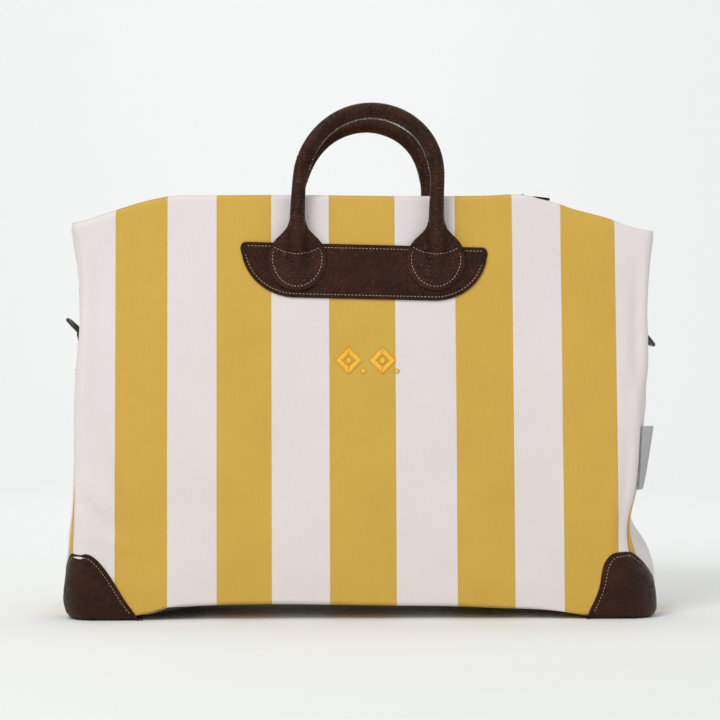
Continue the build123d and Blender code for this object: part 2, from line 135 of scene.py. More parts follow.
def makeSurface(name, grids, materials):
    # grids: dicts with points (rows, columns, 3) in mm, and if wanted uv in mm, wrap and flip
    verts, quads, uvs, start = [], [], [], 0
    for g in grids:
        p = np.asarray(g["points"], float)
        rows, cols = p.shape[:2]
        index = np.arange(rows * cols).reshape(rows, cols) + start
        if g.get("wrap"):
            index = np.concatenate([index, index[:, :1]], axis=1)
        a, b, c, d = index[:-1, :-1], index[:-1, 1:], index[1:, 1:], index[1:, :-1]
        quad = np.stack([a, b, c, d] if not g.get("flip") else [a, d, c, b], axis=-1).reshape(-1, 4)
        verts.append(p.reshape(-1, 3))
        quads.append(quad)
        uv = np.asarray(g.get("uv", np.zeros((rows, cols, 2))), float).reshape(-1, 2)
        uvs.append(uv)
        start += rows * cols
    verts, quads, uvs = np.concatenate(verts) * mm, np.concatenate(quads), np.concatenate(uvs) * mm
    mesh = bpy.data.meshes.new(name)
    mesh.vertices.add(len(verts))
    mesh.vertices.foreach_set("co", verts.ravel())
    mesh.loops.add(quads.size)
    mesh.loops.foreach_set("vertex_index", quads.ravel().astype(np.int32))
    mesh.polygons.add(len(quads))
    mesh.polygons.foreach_set("loop_start", np.arange(0, quads.size, 4, dtype=np.int32))
    mesh.polygons.foreach_set("use_smooth", np.full(len(quads), True))
    layer = mesh.uv_layers.new(name="cloth")
    layer.data.foreach_set("uv", uvs[quads.ravel()].ravel())
    mesh.update(calc_edges=True)
    mesh.validate()
    for m in materials:
        mesh.materials.append(m)
    piece = bpy.data.objects.new(name, mesh)
    bpy.context.scene.collection.objects.link(piece)
    return piece


def weld(piece, distance=0.01):
    # closes the seams of a mesh and turns its faces outwards
    bm = bmesh.new()
    bm.from_mesh(piece.data)
    bmesh.ops.remove_doubles(bm, verts=bm.verts, dist=distance * mm)
    bmesh.ops.recalc_face_normals(bm, faces=bm.faces)
    bm.to_mesh(piece.data)
    bm.free()
    return piece


def thicken(piece, thickness, rim=0):
    # gives a skin its thickness inwards, with the cut edge in its own material
    solid = piece.modifiers.new("thickness", "SOLIDIFY")
    solid.thickness = thickness * mm
    solid.offset = -1
    solid.material_offset_rim = rim
    solid.use_quality_normals = True
    return piece


def applyModifiers(piece):
    # bakes the modifiers into the mesh
    dg = bpy.context.evaluated_depsgraph_get()
    mesh = bpy.data.meshes.new_from_object(piece.evaluated_get(dg))
    piece.modifiers.clear()
    piece.data = mesh
    return piece


def declare(slot, replaced):
    # hides the CAD pieces that it stands for; the slot is not used
    if replaced:
        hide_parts(*replaced)


def finishPiece(piece, body, slot, *replaced):
    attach(piece, body)
    declare(slot, replaced)


def finishBend(piece, bodies, start, end, slot, *replaced):
    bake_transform(piece)
    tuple(start)
    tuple(end)
    declare(slot, replaced)


# ---- materials

def toLinear(code):
    # an sRGB hex value as linear colour
    parts = [int(code[i:i + 2], 16) / 255 for i in (1, 3, 5)]
    return tuple(c / 12.92 if c <= 0.04045 else ((c + 0.055) / 1.055) ** 2.4 for c in parts) + (1.0,)


def addNode(tree, kind, inputs=None, **settings):
    # one node, its settings, and its inputs as values or as sockets to link from
    made = tree.nodes.new(kind)
    for key, value in settings.items():
        setattr(made, key, value)
    for key, value in (inputs or {}).items():
        if isinstance(value, bpy.types.NodeSocket):
            tree.links.new(value, made.inputs[key])
        else:
            made.inputs[key].default_value = value
    return made


def dress(tree, shader, **inputs):
    # links or sets the shader's own sockets, named with _ for a space
    for key, value in inputs.items():
        socket = shader.inputs[key.replace("_", " ")]
        if isinstance(value, bpy.types.NodeSocket):
            tree.links.new(value, socket)
        else:
            socket.default_value = value


def newMaterial(name):
    made = bpy.data.materials.new(name)
    made.use_nodes = True
    tree = made.node_tree
    shader = tree.nodes["Principled BSDF"]
    return made, tree, shader


def setRamp(ramp, stops, mode="LINEAR"):
    # a colour ramp's stops, each a place and a colour
    ramp.color_ramp.interpolation = mode
    items = ramp.color_ramp.elements
    while len(items) > 1:
        items.remove(items[-1])
    for k, (place, color) in enumerate(stops):
        item = items[0] if k == 0 else items.new(place)
        item.position = place
        item.color = color
    return ramp


canvasLook = {
    "mustard": "#D6B04F", "mustardDeep": "#B8913A", "chalk": "#E8E0DE", "chalkDeep": "#D2C8C7",
    "roughness": 0.88, "sheen": 0.06,
    "threadSpacing": 1.15,     # real threads are 0.6 mm apart, drawn coarser to show
    "weaveHeight": 0.07,
    "waver": 0.4,              # the stripes' edges wander this far
    "lean": 0.0023,            # the cloth is cut a little off its stripes
    "span": 700.0,             # stripes are laid out over this width
}


def stripedCanvas(name, edges, lean, firstIsMustard=False):
    # Cotton canvas, yarn dyed and plain woven: matt, with crisp stripe edges and a fine checked grain.
    made, tree, shader = newMaterial(name)
    look = canvasLook
    uv = addNode(tree, "ShaderNodeUVMap", uv_map="cloth").outputs[0]
    parts = addNode(tree, "ShaderNodeSeparateXYZ", {0: uv})
    slant = addNode(tree, "ShaderNodeMath", {0: parts.outputs["Y"], 1: lean, 2: parts.outputs["X"]},
                    operation="MULTIPLY_ADD")
    waver = addNode(tree, "ShaderNodeTexNoise", {"Vector": uv, "Scale": 260.0, "Detail": 1.0})
    shifted = addNode(tree, "ShaderNodeMath",
                      {0: waver.outputs[0], 1: look["waver"] * mm, 2: slant.outputs[0]},
                      operation="MULTIPLY_ADD")
    place = addNode(tree, "ShaderNodeMath", {0: shifted.outputs[0], 1: 1 / (look["span"] * mm), 2: 0.5},
                    operation="MULTIPLY_ADD")
    isMustard, stops = firstIsMustard, []
    for edge in [-look["span"] / 2] + list(edges):
        stops.append((0.5 + edge / look["span"], (1, 1, 1, 1) if isMustard else (0, 0, 0, 1)))
        isMustard = not isMustard
    stripes = setRamp(addNode(tree, "ShaderNodeValToRGB", {0: place.outputs[0]}), stops, "CONSTANT")
    # threads: one row of ridges each way, woven over and under
    weaves = []
    for turn in (0, math.pi / 2):
        mapped = addNode(tree, "ShaderNodeMapping", {"Vector": uv, "Rotation": (0, 0, turn)})
        scale = 1 / (look["threadSpacing"] * mm) * math.pi / 10
        weaves.append(addNode(tree, "ShaderNodeTexWave", {"Vector": mapped.outputs[0], "Scale": scale,
                      "Distortion": 1.2, "Detail": 1.0, "Detail Scale": 0.8}, wave_profile="SIN"))
    # the weave's ridges: the bump's height, and the painted shade between the threads
    weaveReliefAndShade = addNode(tree, "ShaderNodeMath", {0: weaves[0].outputs["Fac"], 1: weaves[1].outputs["Fac"]},
                    operation="MULTIPLY")
    cloudy = addNode(tree, "ShaderNodeTexNoise", {"Vector": uv, "Scale": 14.0, "Detail": 4.0})
    drawn = addNode(tree, "ShaderNodeMapping", {"Vector": uv, "Scale": (900.0, 60.0, 1.0)})
    slubs = addNode(tree, "ShaderNodeTexNoise", {"Vector": drawn.outputs[0], "Scale": 1.0, "Detail": 2.0})
    # the clouding and the slubs each add their share of the deeper tone; the weave's share is painted shade,
    # deeper in the gaps between the threads and lighter on their crests
    tone = 0.0
    for source, share in ((cloudy, 0.45), (slubs, 0.3), (weaveReliefAndShade, -0.18)):
        tone = addNode(tree, "ShaderNodeMath", {0: source.outputs[0], 1: share, 2: tone},
                       operation="MULTIPLY_ADD").outputs[0]
    chalk, mustard = [
        addNode(tree, "ShaderNodeMix", {0: tone, 6: toLinear(look[light]), 7: toLinear(look[deep])},
                data_type="RGBA")
        for light, deep in (("chalk", "chalkDeep"), ("mustard", "mustardDeep"))]
    dyed = addNode(tree, "ShaderNodeMix", {0: stripes.outputs[0], 6: chalk.outputs[2], 7: mustard.outputs[2]},
                   data_type="RGBA")
    bump = addNode(tree, "ShaderNodeBump", {"Height": weaveReliefAndShade.outputs[0], "Strength": 0.35,
                   "Distance": look["weaveHeight"] * mm})
    dress(tree, shader, Base_Color=dyed.outputs[2], Normal=bump.outputs[0], Roughness=look["roughness"],
          Sheen_Weight=look["sheen"], Sheen_Roughness=0.5, Specular_IOR_Level=0.25)
    return made


leatherLook = {
    # crease and dark are painted shade, deepening into the creases between the pebbles; mid, on the pebbles'
    # tops, is the hide's own colour
    "crease": "#0B0302", "dark": "#1E0C06", "mid": "#34180D", "light": "#482413",
    "roughness": 0.27,
    "pebble": 1.9,             # the grain's pebbles are about 2 mm across
    "pebbleHeight": 0.6,
    "specular": 0.40, "specularTint": "#FFCDB8",
}


def pebbledLeather(name, height=1.0, stretch=None):
    # Drum-milled cowhide, aniline dyed: rounded pebbles parted by fine creases, with painted shade darkening
    # into the creases, and a low waxy gloss.
    made, tree, shader = newMaterial(name)
    look = leatherLook
    # with a stretch the grain follows the piece's own map, as on a roll, and otherwise its place
    if stretch:
        place = addNode(tree, "ShaderNodeUVMap", uv_map="cloth").outputs[0]
    else:
        place = addNode(tree, "ShaderNodeTexCoord").outputs["Object"]
    mapped = addNode(tree, "ShaderNodeMapping", {"Vector": place, "Scale": stretch or (1, 1, 1)}).outputs[0]
    warp = addNode(tree, "ShaderNodeTexNoise", {"Vector": mapped, "Scale": 210.0, "Detail": 1.0})
    bent = addNode(tree, "ShaderNodeMix", {0: 0.0035, 4: mapped, 5: warp.outputs["Color"]},
                   data_type="VECTOR")
    edges = addNode(tree, "ShaderNodeTexVoronoi",
                    {"Vector": bent.outputs[1], "Scale": 1 / (look["pebble"] * mm)},
                    feature="DISTANCE_TO_EDGE")
    # pebbles: steep at the crease, level on top
    pebbles = addNode(tree, "ShaderNodeMapRange", {"Value": edges.outputs["Distance"], "From Min": 0.0,
                      "From Max": 0.36, "To Min": 0.0, "To Max": 1.0}, interpolation_type="SMOOTHSTEP")
    swell = addNode(tree, "ShaderNodeTexNoise", {"Vector": mapped, "Scale": 150.0, "Detail": 2.0})
    relief = addNode(tree, "ShaderNodeMath", {0: swell.outputs[0], 1: 1.6, 2: pebbles.outputs[0]},
                     operation="MULTIPLY_ADD")
    drift = addNode(tree, "ShaderNodeTexNoise", {"Vector": place, "Scale": 34.0, "Detail": 3.0})
    # painted shade: the colour darkens from the pebbles' tops down into the creases between them
    stops = [(at, toLinear(look[word])) for at, word in ((0.0, "crease"), (0.3, "dark"), (1.0, "mid"))]
    tone = setRamp(addNode(tree, "ShaderNodeValToRGB", {0: pebbles.outputs[0]}), stops)
    worn = addNode(tree, "ShaderNodeMapRange", {"Value": drift.outputs[0], "From Min": 0.42, "From Max": 0.75,
                   "To Min": 0.0, "To Max": 0.5})
    cast = addNode(tree, "ShaderNodeMix",
                   {0: worn.outputs[0], 6: tone.outputs[0], 7: toLinear(look["light"])}, data_type="RGBA")
    gloss = addNode(tree, "ShaderNodeMapRange", {"Value": pebbles.outputs[0], "From Min": 0.0,
                    "From Max": 1.0, "To Min": look["roughness"] + 0.25, "To Max": look["roughness"]})
    bump = addNode(tree, "ShaderNodeBump", {"Height": relief.outputs[0], "Strength": 1.0,
                   "Distance": look["pebbleHeight"] * height * mm})
    dress(tree, shader, Base_Color=cast.outputs[2], Roughness=gloss.outputs[0], Normal=bump.outputs[0],
          Specular_IOR_Level=look["specular"], Specular_Tint=toLinear(look["specularTint"]))
    return made


def plainMaterial(name, dark, light, scale, roughness, bumpScale, bumpHeight, **constants):
    # two close colours in a soft noise, with a fine relief of its own scale
    made, tree, shader = newMaterial(name)
    place = addNode(tree, "ShaderNodeTexCoord").outputs["Object"]
    drift = addNode(tree, "ShaderNodeTexNoise", {"Vector": place, "Scale": scale, "Detail": 4.0})
    tone = setRamp(addNode(tree, "ShaderNodeValToRGB", {0: drift.outputs[0]}),
                   [(0.3, toLinear(dark)), (0.7, toLinear(light))])
    fine = addNode(tree, "ShaderNodeTexNoise", {"Vector": place, "Scale": bumpScale, "Detail": 3.0})
    bump = addNode(tree, "ShaderNodeBump", {"Height": fine.outputs[0], "Strength": 0.6,
                   "Distance": bumpHeight * mm})
    dress(tree, shader, Base_Color=tone.outputs[0], Normal=bump.outputs[0], Roughness=roughness, **constants)
    return made


def wovenTape(name, dark, light, rib, across="X"):
    # a woven tape: ribs every rib mm along its length, read from the tape's own map, with painted shade
    # darker between the ribs
    made, tree, shader = newMaterial(name)
    uv = addNode(tree, "ShaderNodeUVMap", uv_map="cloth").outputs[0]
    ribs = addNode(tree, "ShaderNodeTexWave", {"Vector": uv, "Scale": math.pi / 10 / (rib * mm),
                   "Distortion": 0.6, "Detail": 1.0}, bands_direction=across)
    speck = addNode(tree, "ShaderNodeTexNoise", {"Vector": uv, "Scale": 900.0, "Detail": 2.0})
    # painted shade: the colour darkens between the ribs, with a random speckle mixed in
    ribShadeAndSpeck = addNode(tree, "ShaderNodeMath", {0: speck.outputs[0], 1: 0.5, 2: ribs.outputs["Fac"]},
                    operation="MULTIPLY_ADD")
    tone = setRamp(addNode(tree, "ShaderNodeValToRGB", {0: ribShadeAndSpeck.outputs[0]}),
                   [(0.2, toLinear(dark)), (1.0, toLinear(light))])
    bump = addNode(tree, "ShaderNodeBump", {"Height": ribs.outputs["Fac"], "Strength": 0.7,
                   "Distance": 0.15 * mm})
    dress(tree, shader, Base_Color=tone.outputs[0], Normal=bump.outputs[0], Roughness=0.82, Sheen_Weight=0.2)
    return made


print("materials")
stripeEdges = [-237.5, -186.5, -139.5, -88.0, -34.0, 30.0, 86.0, 140.0, 186.0, 239.0]
endStripeEdges = [-78.0, -26.0, 26.0, 78.0]
wallCanvas = stripedCanvas("stripedCottonCanvas", stripeEdges, canvasLook["lean"])
endCanvas = stripedCanvas("stripedCottonCanvasEnds", endStripeEdges, 0.0, firstIsMustard=True)
cowhide = pebbledLeather("pebbledCowhide")
rolledHide = pebbledLeather("rolledCowhide", height=0.8, stretch=(0.4, 1, 1))
cutEdge = plainMaterial("cutHideEdge", "#3E1E14", "#6A3A28", 400.0, 0.7, 1800.0, 0.08)
waxedThread = plainMaterial("waxedLinenThread", "#A58A76", "#CDB6A0", 900.0, 0.55, 2600.0, 0.05)
liningCotton = plainMaterial("liningCottonTwill", "#8E7B5F", "#A8977A", 60.0, 0.9, 1400.0, 0.12,
                             Sheen_Weight=0.2)
zipWeave = wovenTape("zipTapeWeave", "#2A1712", "#4A2E24", 1.1)
nylonCoil = plainMaterial("nylonCoil", "#2B1A14", "#40281F", 300.0, 0.42, 1500.0, 0.02)
blackEnamel = plainMaterial("blackEnamelledSteel", "#0B0B0C", "#161617", 240.0, 0.28, 900.0, 0.015,
                            Coat_Weight=0.4, Coat_Roughness=0.15)
goldThread = plainMaterial("goldRayonThread", "#F0AE1C", "#FFCF45", 500.0, 0.36, 2400.0, 0.03)
goldEdge = plainMaterial("goldUnderlay", "#B47F12", "#D29A20", 700.0, 0.6, 2400.0, 0.03)
labelWeave = wovenTape("greyLabelWeave", "#8D9192", "#BEC2C2", 0.9, "Y")
fibreBoard = plainMaterial("fibreBoard", "#2E2A27", "#3C3733", 80.0, 0.8, 700.0, 0.08)


# ---- the bag's form
leatherStands = 1.65       # the corners hold the canvas this far off the ground
frontHinge = hingePlace("mouth_front_open")
bagForm = {
    "top": frontHinge[2],
    "baseHalfDepth": boxOf("corner_back_left")[1][1] - leatherStands,
    "halfLength": 277.0,       # from the middle to an end, at the ground
    "seamBack": 8.0,           # the corner seams lie this far behind the face
    "roll": 6.0,               # the top edge turns over in this height
    "heel": 4.0,               # the bottom edge turns under in this height
    "underPatch": 1.8,         # the cloth draws in this far under the corners' leather
    # how far the bottom edge lifts between the corners, X then height
    "baseLift": [(-234, 0), (-223, 0.8), (-211, 3.6), (-199, 7.2), (-187, 9.8), (-168, 11), (40, 11),
                 (90, 10.2), (125, 8.6), (160, 7.4), (180, 5.8), (195, 3.6), (208, 1.4), (221, 0.2),
                 (232, 0)],
    # where the front corners run, height then X
    "leftEdge": [(0, -278), (18, -281.5), (34, -281.5), (62, -279.5), (95, -277.5), (150, -276), (205, -276),
                 (235, -274.5), (275, -271), (335, -270.8), (356, -273), (372, -278), (402, -281)],
    "rightEdge": [(0, 275), (26, 272), (60, 256), (84, 253.0), (122, 260.5), (184, 265.5), (208, 267.8),
                  (232, 271.6), (300, 272.6), (340, 275), (368, 278.5), (402, 282)],
    # the middle of each end, height then X
    "leftMiddle": [(0, -279), (20, -283.5), (40, -283), (75, -281), (115, -275.5), (160, -272), (222, -271.5),
                   (268, -270.6), (300, -273), (335, -276), (362, -279), (402, -284)],
    "rightMiddle": [(0, 278), (20, 281.5), (42, 284.5), (62, 279), (90, 259.5), (124, 263.5), (184, 268.5),
                    (222, 270.5), (268, 270.6), (300, 272.5), (335, 277), (365, 281), (402, 284)],
    "cornerRadius": [(0, 22), (130, 14), (268, 10), (340, 8.2), (402, 8.2)],
    # the top line, X then height
    "topLine": [(-283, 374.5), (-272, 376.5), (-243, 385.5), (-205, 397), (-184, 401.2), (-150, 401.8),
                (-60, 402.3), (40, 401.6), (120, 402.3), (150, 403.4), (158, 402.6), (167, 399.8),
                (184, 395.6), (201, 389.6), (218, 385.2), (236, 380.2), (253, 373.8),
                (270, 369.6), (283, 367.6)],
}
bagForm["topHalfDepth"] = abs(frontHinge[1]) + bagForm["seamBack"]


def halfDepth(z):
    # the long faces are flat and lean in evenly
    f = bagForm
    return f["baseHalfDepth"] - (f["baseHalfDepth"] - f["topHalfDepth"]) * z / f["top"]


def topLine(x):
    return through(x, bagForm["topLine"])


def endKnots(hand):
    # an end's front corner and its middle, height then X
    word = "left" if hand < 0 else "right"
    return bagForm[word + "Edge"], bagForm[word + "Middle"]


def baseLine(x):
    # flat on the corners, lifted between them in an S on each side
    return leatherStands + through(x, bagForm["baseLift"])


def foldLine(x, z, start, end, width, height, fade=0.25):
    # a ridge (or a valley if height is negative) along a segment, a bell across it and soft at its ends
    (x0, z0), (x1, z1) = start, end
    length = math.hypot(x1 - x0, z1 - z0)
    ax, az = (x1 - x0) / length, (z1 - z0) / length
    along = ((x - x0) * ax + (z - z0) * az) / length
    across = (x - x0) * az - (z - z0) * ax
    ends = smoothStep((along + fade) / (2 * fade)) * smoothStep((1 + fade - along) / (2 * fade))
    return height * np.exp(-(across / width) ** 2) * ends


frontFolds = [
    # the cloth hangs in a V from the left ring's tab
    ((-270, 222), (-232, 118), 5.5, 3.2), ((-262, 205), (-246, 140), 4.5, -1.9),
    ((-272, 116), (-236, 80), 5.5, -3.0), ((-266, 132), (-232, 96), 6.0, 1.8),
    ((-250, 330), (-252, 230), 9.0, -1.4), ((-262, 80), (-214, 66), 6.0, 1.2),
    # a soft pleat down the right-hand edge, deepening to the waist above the corner
    ((261, 335), (258, 205), 6.5, -2.6), ((252, 300), (246, 220), 9.0, 1.2),
    ((255, 240), (262, 182), 5.0, 2.0), ((252, 172), (243, 70), 6.5, -2.8), ((243, 150), (232, 64), 8.0, 2.0),
    # the leather under the handles pulls a shallow hollow along its lower edge
    ((-100, 296), (100, 296), 9.0, -0.7),
    # slow swells low on the cloth
    ((-190, 120), (-178, 60), 14.0, -1.2), ((60, 24), (170, 30), 10.0, 0.9),
]
backFolds = [
    ((-262, 235), (-235, 150), 6.0, 2.0), ((-270, 130), (-236, 90), 7.0, -1.8),
    ((262, 250), (240, 150), 7.0, 2.0), ((268, 120), (238, 76), 6.0, -1.8),
    ((-100, 296), (100, 296), 9.0, -0.7), ((180, 330), (150, 210), 16.0, 1.2),
]


def faceRelief(x, z, side):
    # how far a long face stands out: a slight belly, the folds, and a slow unevenness
    f = bagForm
    belly = np.clip(1 - (x / f["halfLength"]) ** 2, 0, 1) * np.sin(np.pi * np.clip(z / f["top"], 0, 1)) ** 0.8
    belly = 2.6 * belly
    total = belly + 0.8 * softNoise(x, z, 120, 11 + side) + 0.28 * softNoise(x, z * 0.7, 38, 17 + side)
    for start, end, width, height in (frontFolds if side < 0 else backFolds):
        total = total + foldLine(x, z, start, end, width, height)
    stiff = smoothStep((np.abs(x) - 95) / 50) + smoothStep((np.abs(z - 330) - 30) / 30)
    return total * np.clip(0.35 + 0.65 * stiff, 0, 1)


def facePoint(x, z, side, lift=0.0):
    # a point on the front (-1) or back (1) face, lifted off it
    edge = smoothStep((272 - np.abs(x)) / 22)
    out = halfDepth(z) + faceRelief(x, z, side) * edge + lift
    return stack(x, side * out, z)


def pinchAt(distance, depth=1.3, width=2.2):
    # the cloth dives into a seam
    return -depth * np.exp(-(distance / width) ** 2)


def underLeather(fromCorner, z):
    # 1 where a corner's leather hides the cloth, by the distance from the bag's bottom corner
    return 1 - smoothStep((np.hypot(fromCorner, z) - 38) / 18)


def longWall(side, inset=0.0, rows=150, flatColumns=170, arcColumns=8):
    # the front or back face with its turned edges: columns run left to right, rows bottom to top
    f = bagForm
    arc = np.linspace(0, 1, arcColumns)
    turn = np.concatenate([np.linspace(1, 0, arcColumns), np.zeros(flatColumns - 2), arc])
    share = np.concatenate([0 * arc, np.linspace(0, 1, flatColumns)[1:-1], 0 * arc + 1])
    hand = np.where(share < 0.5, -1.0, 1.0)
    nominal = f["leftEdge"][0][1] + share * (f["rightEdge"][0][1] - f["leftEdge"][0][1])
    nominal = nominal * (1 + 0.015 * np.abs(nominal / f["halfLength"]))
    low, high = baseLine(nominal) + f["heel"], topLine(nominal) - f["roll"]
    z = low + (high - low) * np.linspace(0, 1, rows)[:, None]

    def wallAt(z):
        radius = np.maximum(through(z, f["cornerRadius"]), f["seamBack"] + 0.05)
        angle = np.arccos(1 - f["seamBack"] / radius) * turn
        left = through(z, f["leftEdge"]) + radius + inset
        right = through(z, f["rightEdge"]) - radius - inset
        flat = left + share * (right - left)
        out = halfDepth(z) - inset - radius * (1 - np.cos(angle))
        return flat + hand * radius * np.sin(angle), side * out, flat + hand * radius * angle

    x, y, u = wallAt(z)
    xTop = wallAt(high[None])[0][0]
    zTop = topLine(xTop) - inset
    yTop = side * (halfDepth(zTop) - f["seamBack"] - inset * 0.3)
    roll = np.linspace(0, np.pi / 2, 8)[1:, None]
    xRoll = np.broadcast_to(xTop, (7, len(xTop)))
    yRoll = y[-1] + (yTop - y[-1]) * (1 - np.cos(roll))
    zRoll = z[-1] + (zTop - z[-1]) * np.sin(roll)
    xLow, zLow = x[0], baseLine(x[0]) + inset
    yLow = y[0] - side * f["heel"] * (1 - turn * 0.6)
    heel = np.linspace(np.pi / 2, 0, 5)[:-1, None]
    yHeel = y[0] + (yLow - y[0]) * (1 - np.cos(heel))
    zHeel = z[0] - (z[0] - zLow) * np.sin(heel)
    xHeel = np.broadcast_to(xLow, yHeel.shape)
    points = stack(np.concatenate([xHeel, x, xRoll]), np.concatenate([yHeel, y, yRoll]),
                   np.concatenate([zHeel, z, zRoll]))
    uAll = np.concatenate([np.broadcast_to(u[0], xHeel.shape), u, np.broadcast_to(u[-1], xRoll.shape)])
    uv = np.stack([uAll, np.concatenate([zHeel, z, z[-1] + f["roll"] * 1.2 * roll])], axis=-1)
    # relief, fading out at every seam, and the dive into the seams
    row, column = np.arange(len(points))[:, None], turn[None]
    fromTop, fromBase = len(points) - 1 - row, row
    x, z = points[..., 0], points[..., 2]
    calm = smoothStep(1 - column) * smoothStep(fromTop / 22) * smoothStep(fromBase / 14)
    edgeCalm = smoothStep((through(z, f["rightEdge"]) - x) / 15)
    edgeCalm = edgeCalm * smoothStep((x - through(z, f["leftEdge"])) / 15)
    hidden = underLeather(np.clip(f["halfLength"] - np.abs(x), 0, None), z)
    push = faceRelief(x, z, side) * calm * (0.3 + 0.7 * edgeCalm)
    push = push * (1 - hidden) - f["underPatch"] * hidden
    reach = through(z, f["cornerRadius"]) * np.arccos(1 - 0.95) * (1 - column) + 60 * (column == 0)
    push = push + pinchAt(reach) + pinchAt(fromTop * 1.25) + pinchAt(fromBase * 1.4)
    normals = gridNormals(points) * (1 if side < 0 else -1)
    points = points + normals * push[..., None]
    if side > 0:
        uv[..., 0] *= -1
    return points, uv


def endWall(hand, inset=0.0, rows=150, columns=70):
    # an end: rows bottom to top, columns front seam to back seam, bulging as the middle line says
    f = bagForm
    across = np.linspace(-1, 1, columns)
    across = np.sin(across * np.pi / 2) * 0.35 + across * 0.65
    edgeKnots, middleKnots = endKnots(hand)

    def wallAt(z):
        radius = np.maximum(through(z, f["cornerRadius"]), f["seamBack"] + 0.05)
        y = across * (halfDepth(z) - f["seamBack"] - inset * 0.3)
        past = np.clip(np.abs(y) - (halfDepth(z) - radius), 0, None)
        edge = np.abs(through(z, edgeKnots)) - inset
        middle = np.abs(through(z, middleKnots)) - inset
        full = 2.2 + 3.5 * smoothStep((z - 240) / 80)
        rounded = edge - radius + np.sqrt(np.maximum(radius**2 - past**2, 0))
        return rounded + (middle - edge) * (1 - np.abs(across) ** full), y

    xEnd, _ = wallAt(np.array([[370.0]]))
    taper = smoothStep((1 - np.abs(across)) / 0.5)
    zTopGuess = topLine(hand * (xEnd[0] - f["seamBack"] * taper))
    high = zTopGuess - f["roll"]
    low = baseLine(hand * xEnd[0]) + f["heel"]
    z = low + (high - low) * np.linspace(0, 1, rows)[:, None]
    x, y = wallAt(z)
    xTop = x[-1] - f["seamBack"] * taper
    zTop = topLine(hand * xTop) - inset
    yTop = across * (halfDepth(zTop) - f["seamBack"] - inset * 0.3)
    roll = np.linspace(0, np.pi / 2, 8)[1:, None]
    heel = np.linspace(np.pi / 2, 0, 5)[:-1, None]
    xLow = x[0] - f["heel"] * taper
    parts = [
        (x[0] + (xLow - x[0]) * (1 - np.cos(heel)), np.broadcast_to(y[0], (4, columns)),
         z[0] - (z[0] - leatherStands - inset) * np.sin(heel)),
        (x, y, z),
        (x[-1] + (xTop - x[-1]) * (1 - np.cos(roll)), y[-1] + (yTop - y[-1]) * (1 - np.cos(roll)),
         z[-1] + (zTop - z[-1]) * np.sin(roll)),
    ]
    points = np.concatenate([stack(hand * a, b, c) for a, b, c in parts])
    uv = np.stack([points[..., 1], points[..., 2]], axis=-1)
    row = np.arange(len(points))[:, None]
    fromTop, fromBase = len(points) - 1 - row, row
    fromSeam = (1 - np.abs(across)) * halfDepth(points[..., 2])
    calm = smoothStep(fromSeam / 18) * smoothStep(fromTop / 20) * smoothStep(fromBase / 14)
    push = (1.5 * softNoise(points[..., 1], points[..., 2] * 0.6, 70, 31 + hand)
            + 0.35 * softNoise(points[..., 1], points[..., 2], 26, 37 + hand))
    # the ring's tab lies on a calm patch
    nearTab = np.exp(-(points[..., 1] / 26) ** 2 - ((points[..., 2] - 245) / 40) ** 2)
    hidden = underLeather(fromSeam, points[..., 2])
    push = push * calm * (1 - nearTab) * (1 - hidden) - f["underPatch"] * hidden
    push = push + pinchAt(fromSeam) + pinchAt(fromTop * 1.25) + pinchAt(fromBase * 1.4)
    normals = gridNormals(points) * hand
    return points + normals * push[..., None], uv


print("canvas walls")
for side, name, cad in ((-1, "frontPanel", "front_panel"), (1, "backPanel", "back_panel")):
    points, uv = longWall(side)
    piece = makeSurface(name, [{"points": points, "uv": uv, "flip": side > 0}], [wallCanvas])
    finishPiece(thicken(piece, 1.2), "bag", "striped_canvas", cad)
endRows = {hand: endWall(hand) for hand in (-1, 1)}
for hand, name, cad in ((-1, "leftEnd", "left_gusset"), (1, "rightEnd", "right_gusset")):
    points, uv = endRows[hand]
    piece = makeSurface(name, [{"points": points, "uv": uv, "flip": hand < 0}], [endCanvas])
    finishPiece(thicken(piece, 1.2), "bag", "striped_canvas", cad)


# ---- underside, inside and top of the bag
print("base, lining and top")


def baseSheet(inset=0.0, columns=160, rows=40):
    # a grid at the base line's height, as wide as the walls' lowest rows
    front, _ = longWall(-1, inset)
    rim = front[0]
    ends = [endWall(hand, inset)[0][0] for hand in (-1, 1)]
    across = np.linspace(-1, 1, rows)[:, None]
    low, high = [np.interp(across * 86, e[:, 1], e[:, 0]) for e in ends]
    x = low + (high - low) * np.linspace(0, 1, columns)[None]
    order = np.argsort(rim[:, 0])
    y = across * np.interp(x, rim[order, 0], -rim[order, 1])
    sag = 1.2 * np.clip(1 - across**2, 0, 1) * softNoise(x, y, 130, 5)
    arch = smoothStep((221 - np.abs(x)) / 60)
    z = baseLine(x) + inset + sag * arch * np.clip(1 - across**2, 0, 1)
    return stack(x, y, z), stack(x, y)


points, uv = baseSheet()
piece = makeSurface("basePanel", [{"points": points, "uv": uv, "flip": True}], [wallCanvas])
finishPiece(thicken(piece, 1.2), "bag", "striped_canvas", "base_panel")

liningInset = 2.1
for side, name, cad in ((-1, "liningFront", "lining_front"), (1, "liningBack", "lining_back")):
    points, uv = longWall(side, liningInset, rows=80, flatColumns=90)
    piece = makeSurface(name, [{"points": points, "uv": uv, "flip": side > 0}], [liningCotton])
    finishPiece(thicken(piece, 0.6), "bag", "lining_cotton", cad)
for hand, name, cad in ((-1, "liningLeft", "lining_left"), (1, "liningRight", "lining_right")):
    points, uv = endWall(hand, liningInset, rows=80, columns=40)
    piece = makeSurface(name, [{"points": points, "uv": uv, "flip": hand < 0}], [liningCotton])
    finishPiece(thicken(piece, 0.6), "bag", "lining_cotton", cad)
points, uv = baseSheet(5.2, 90, 24)
piece = makeSurface("liningBase", [{"points": points, "uv": uv, "flip": True}], [liningCotton])
finishPiece(thicken(piece, 0.6), "bag", "lining_cotton", "lining_base")

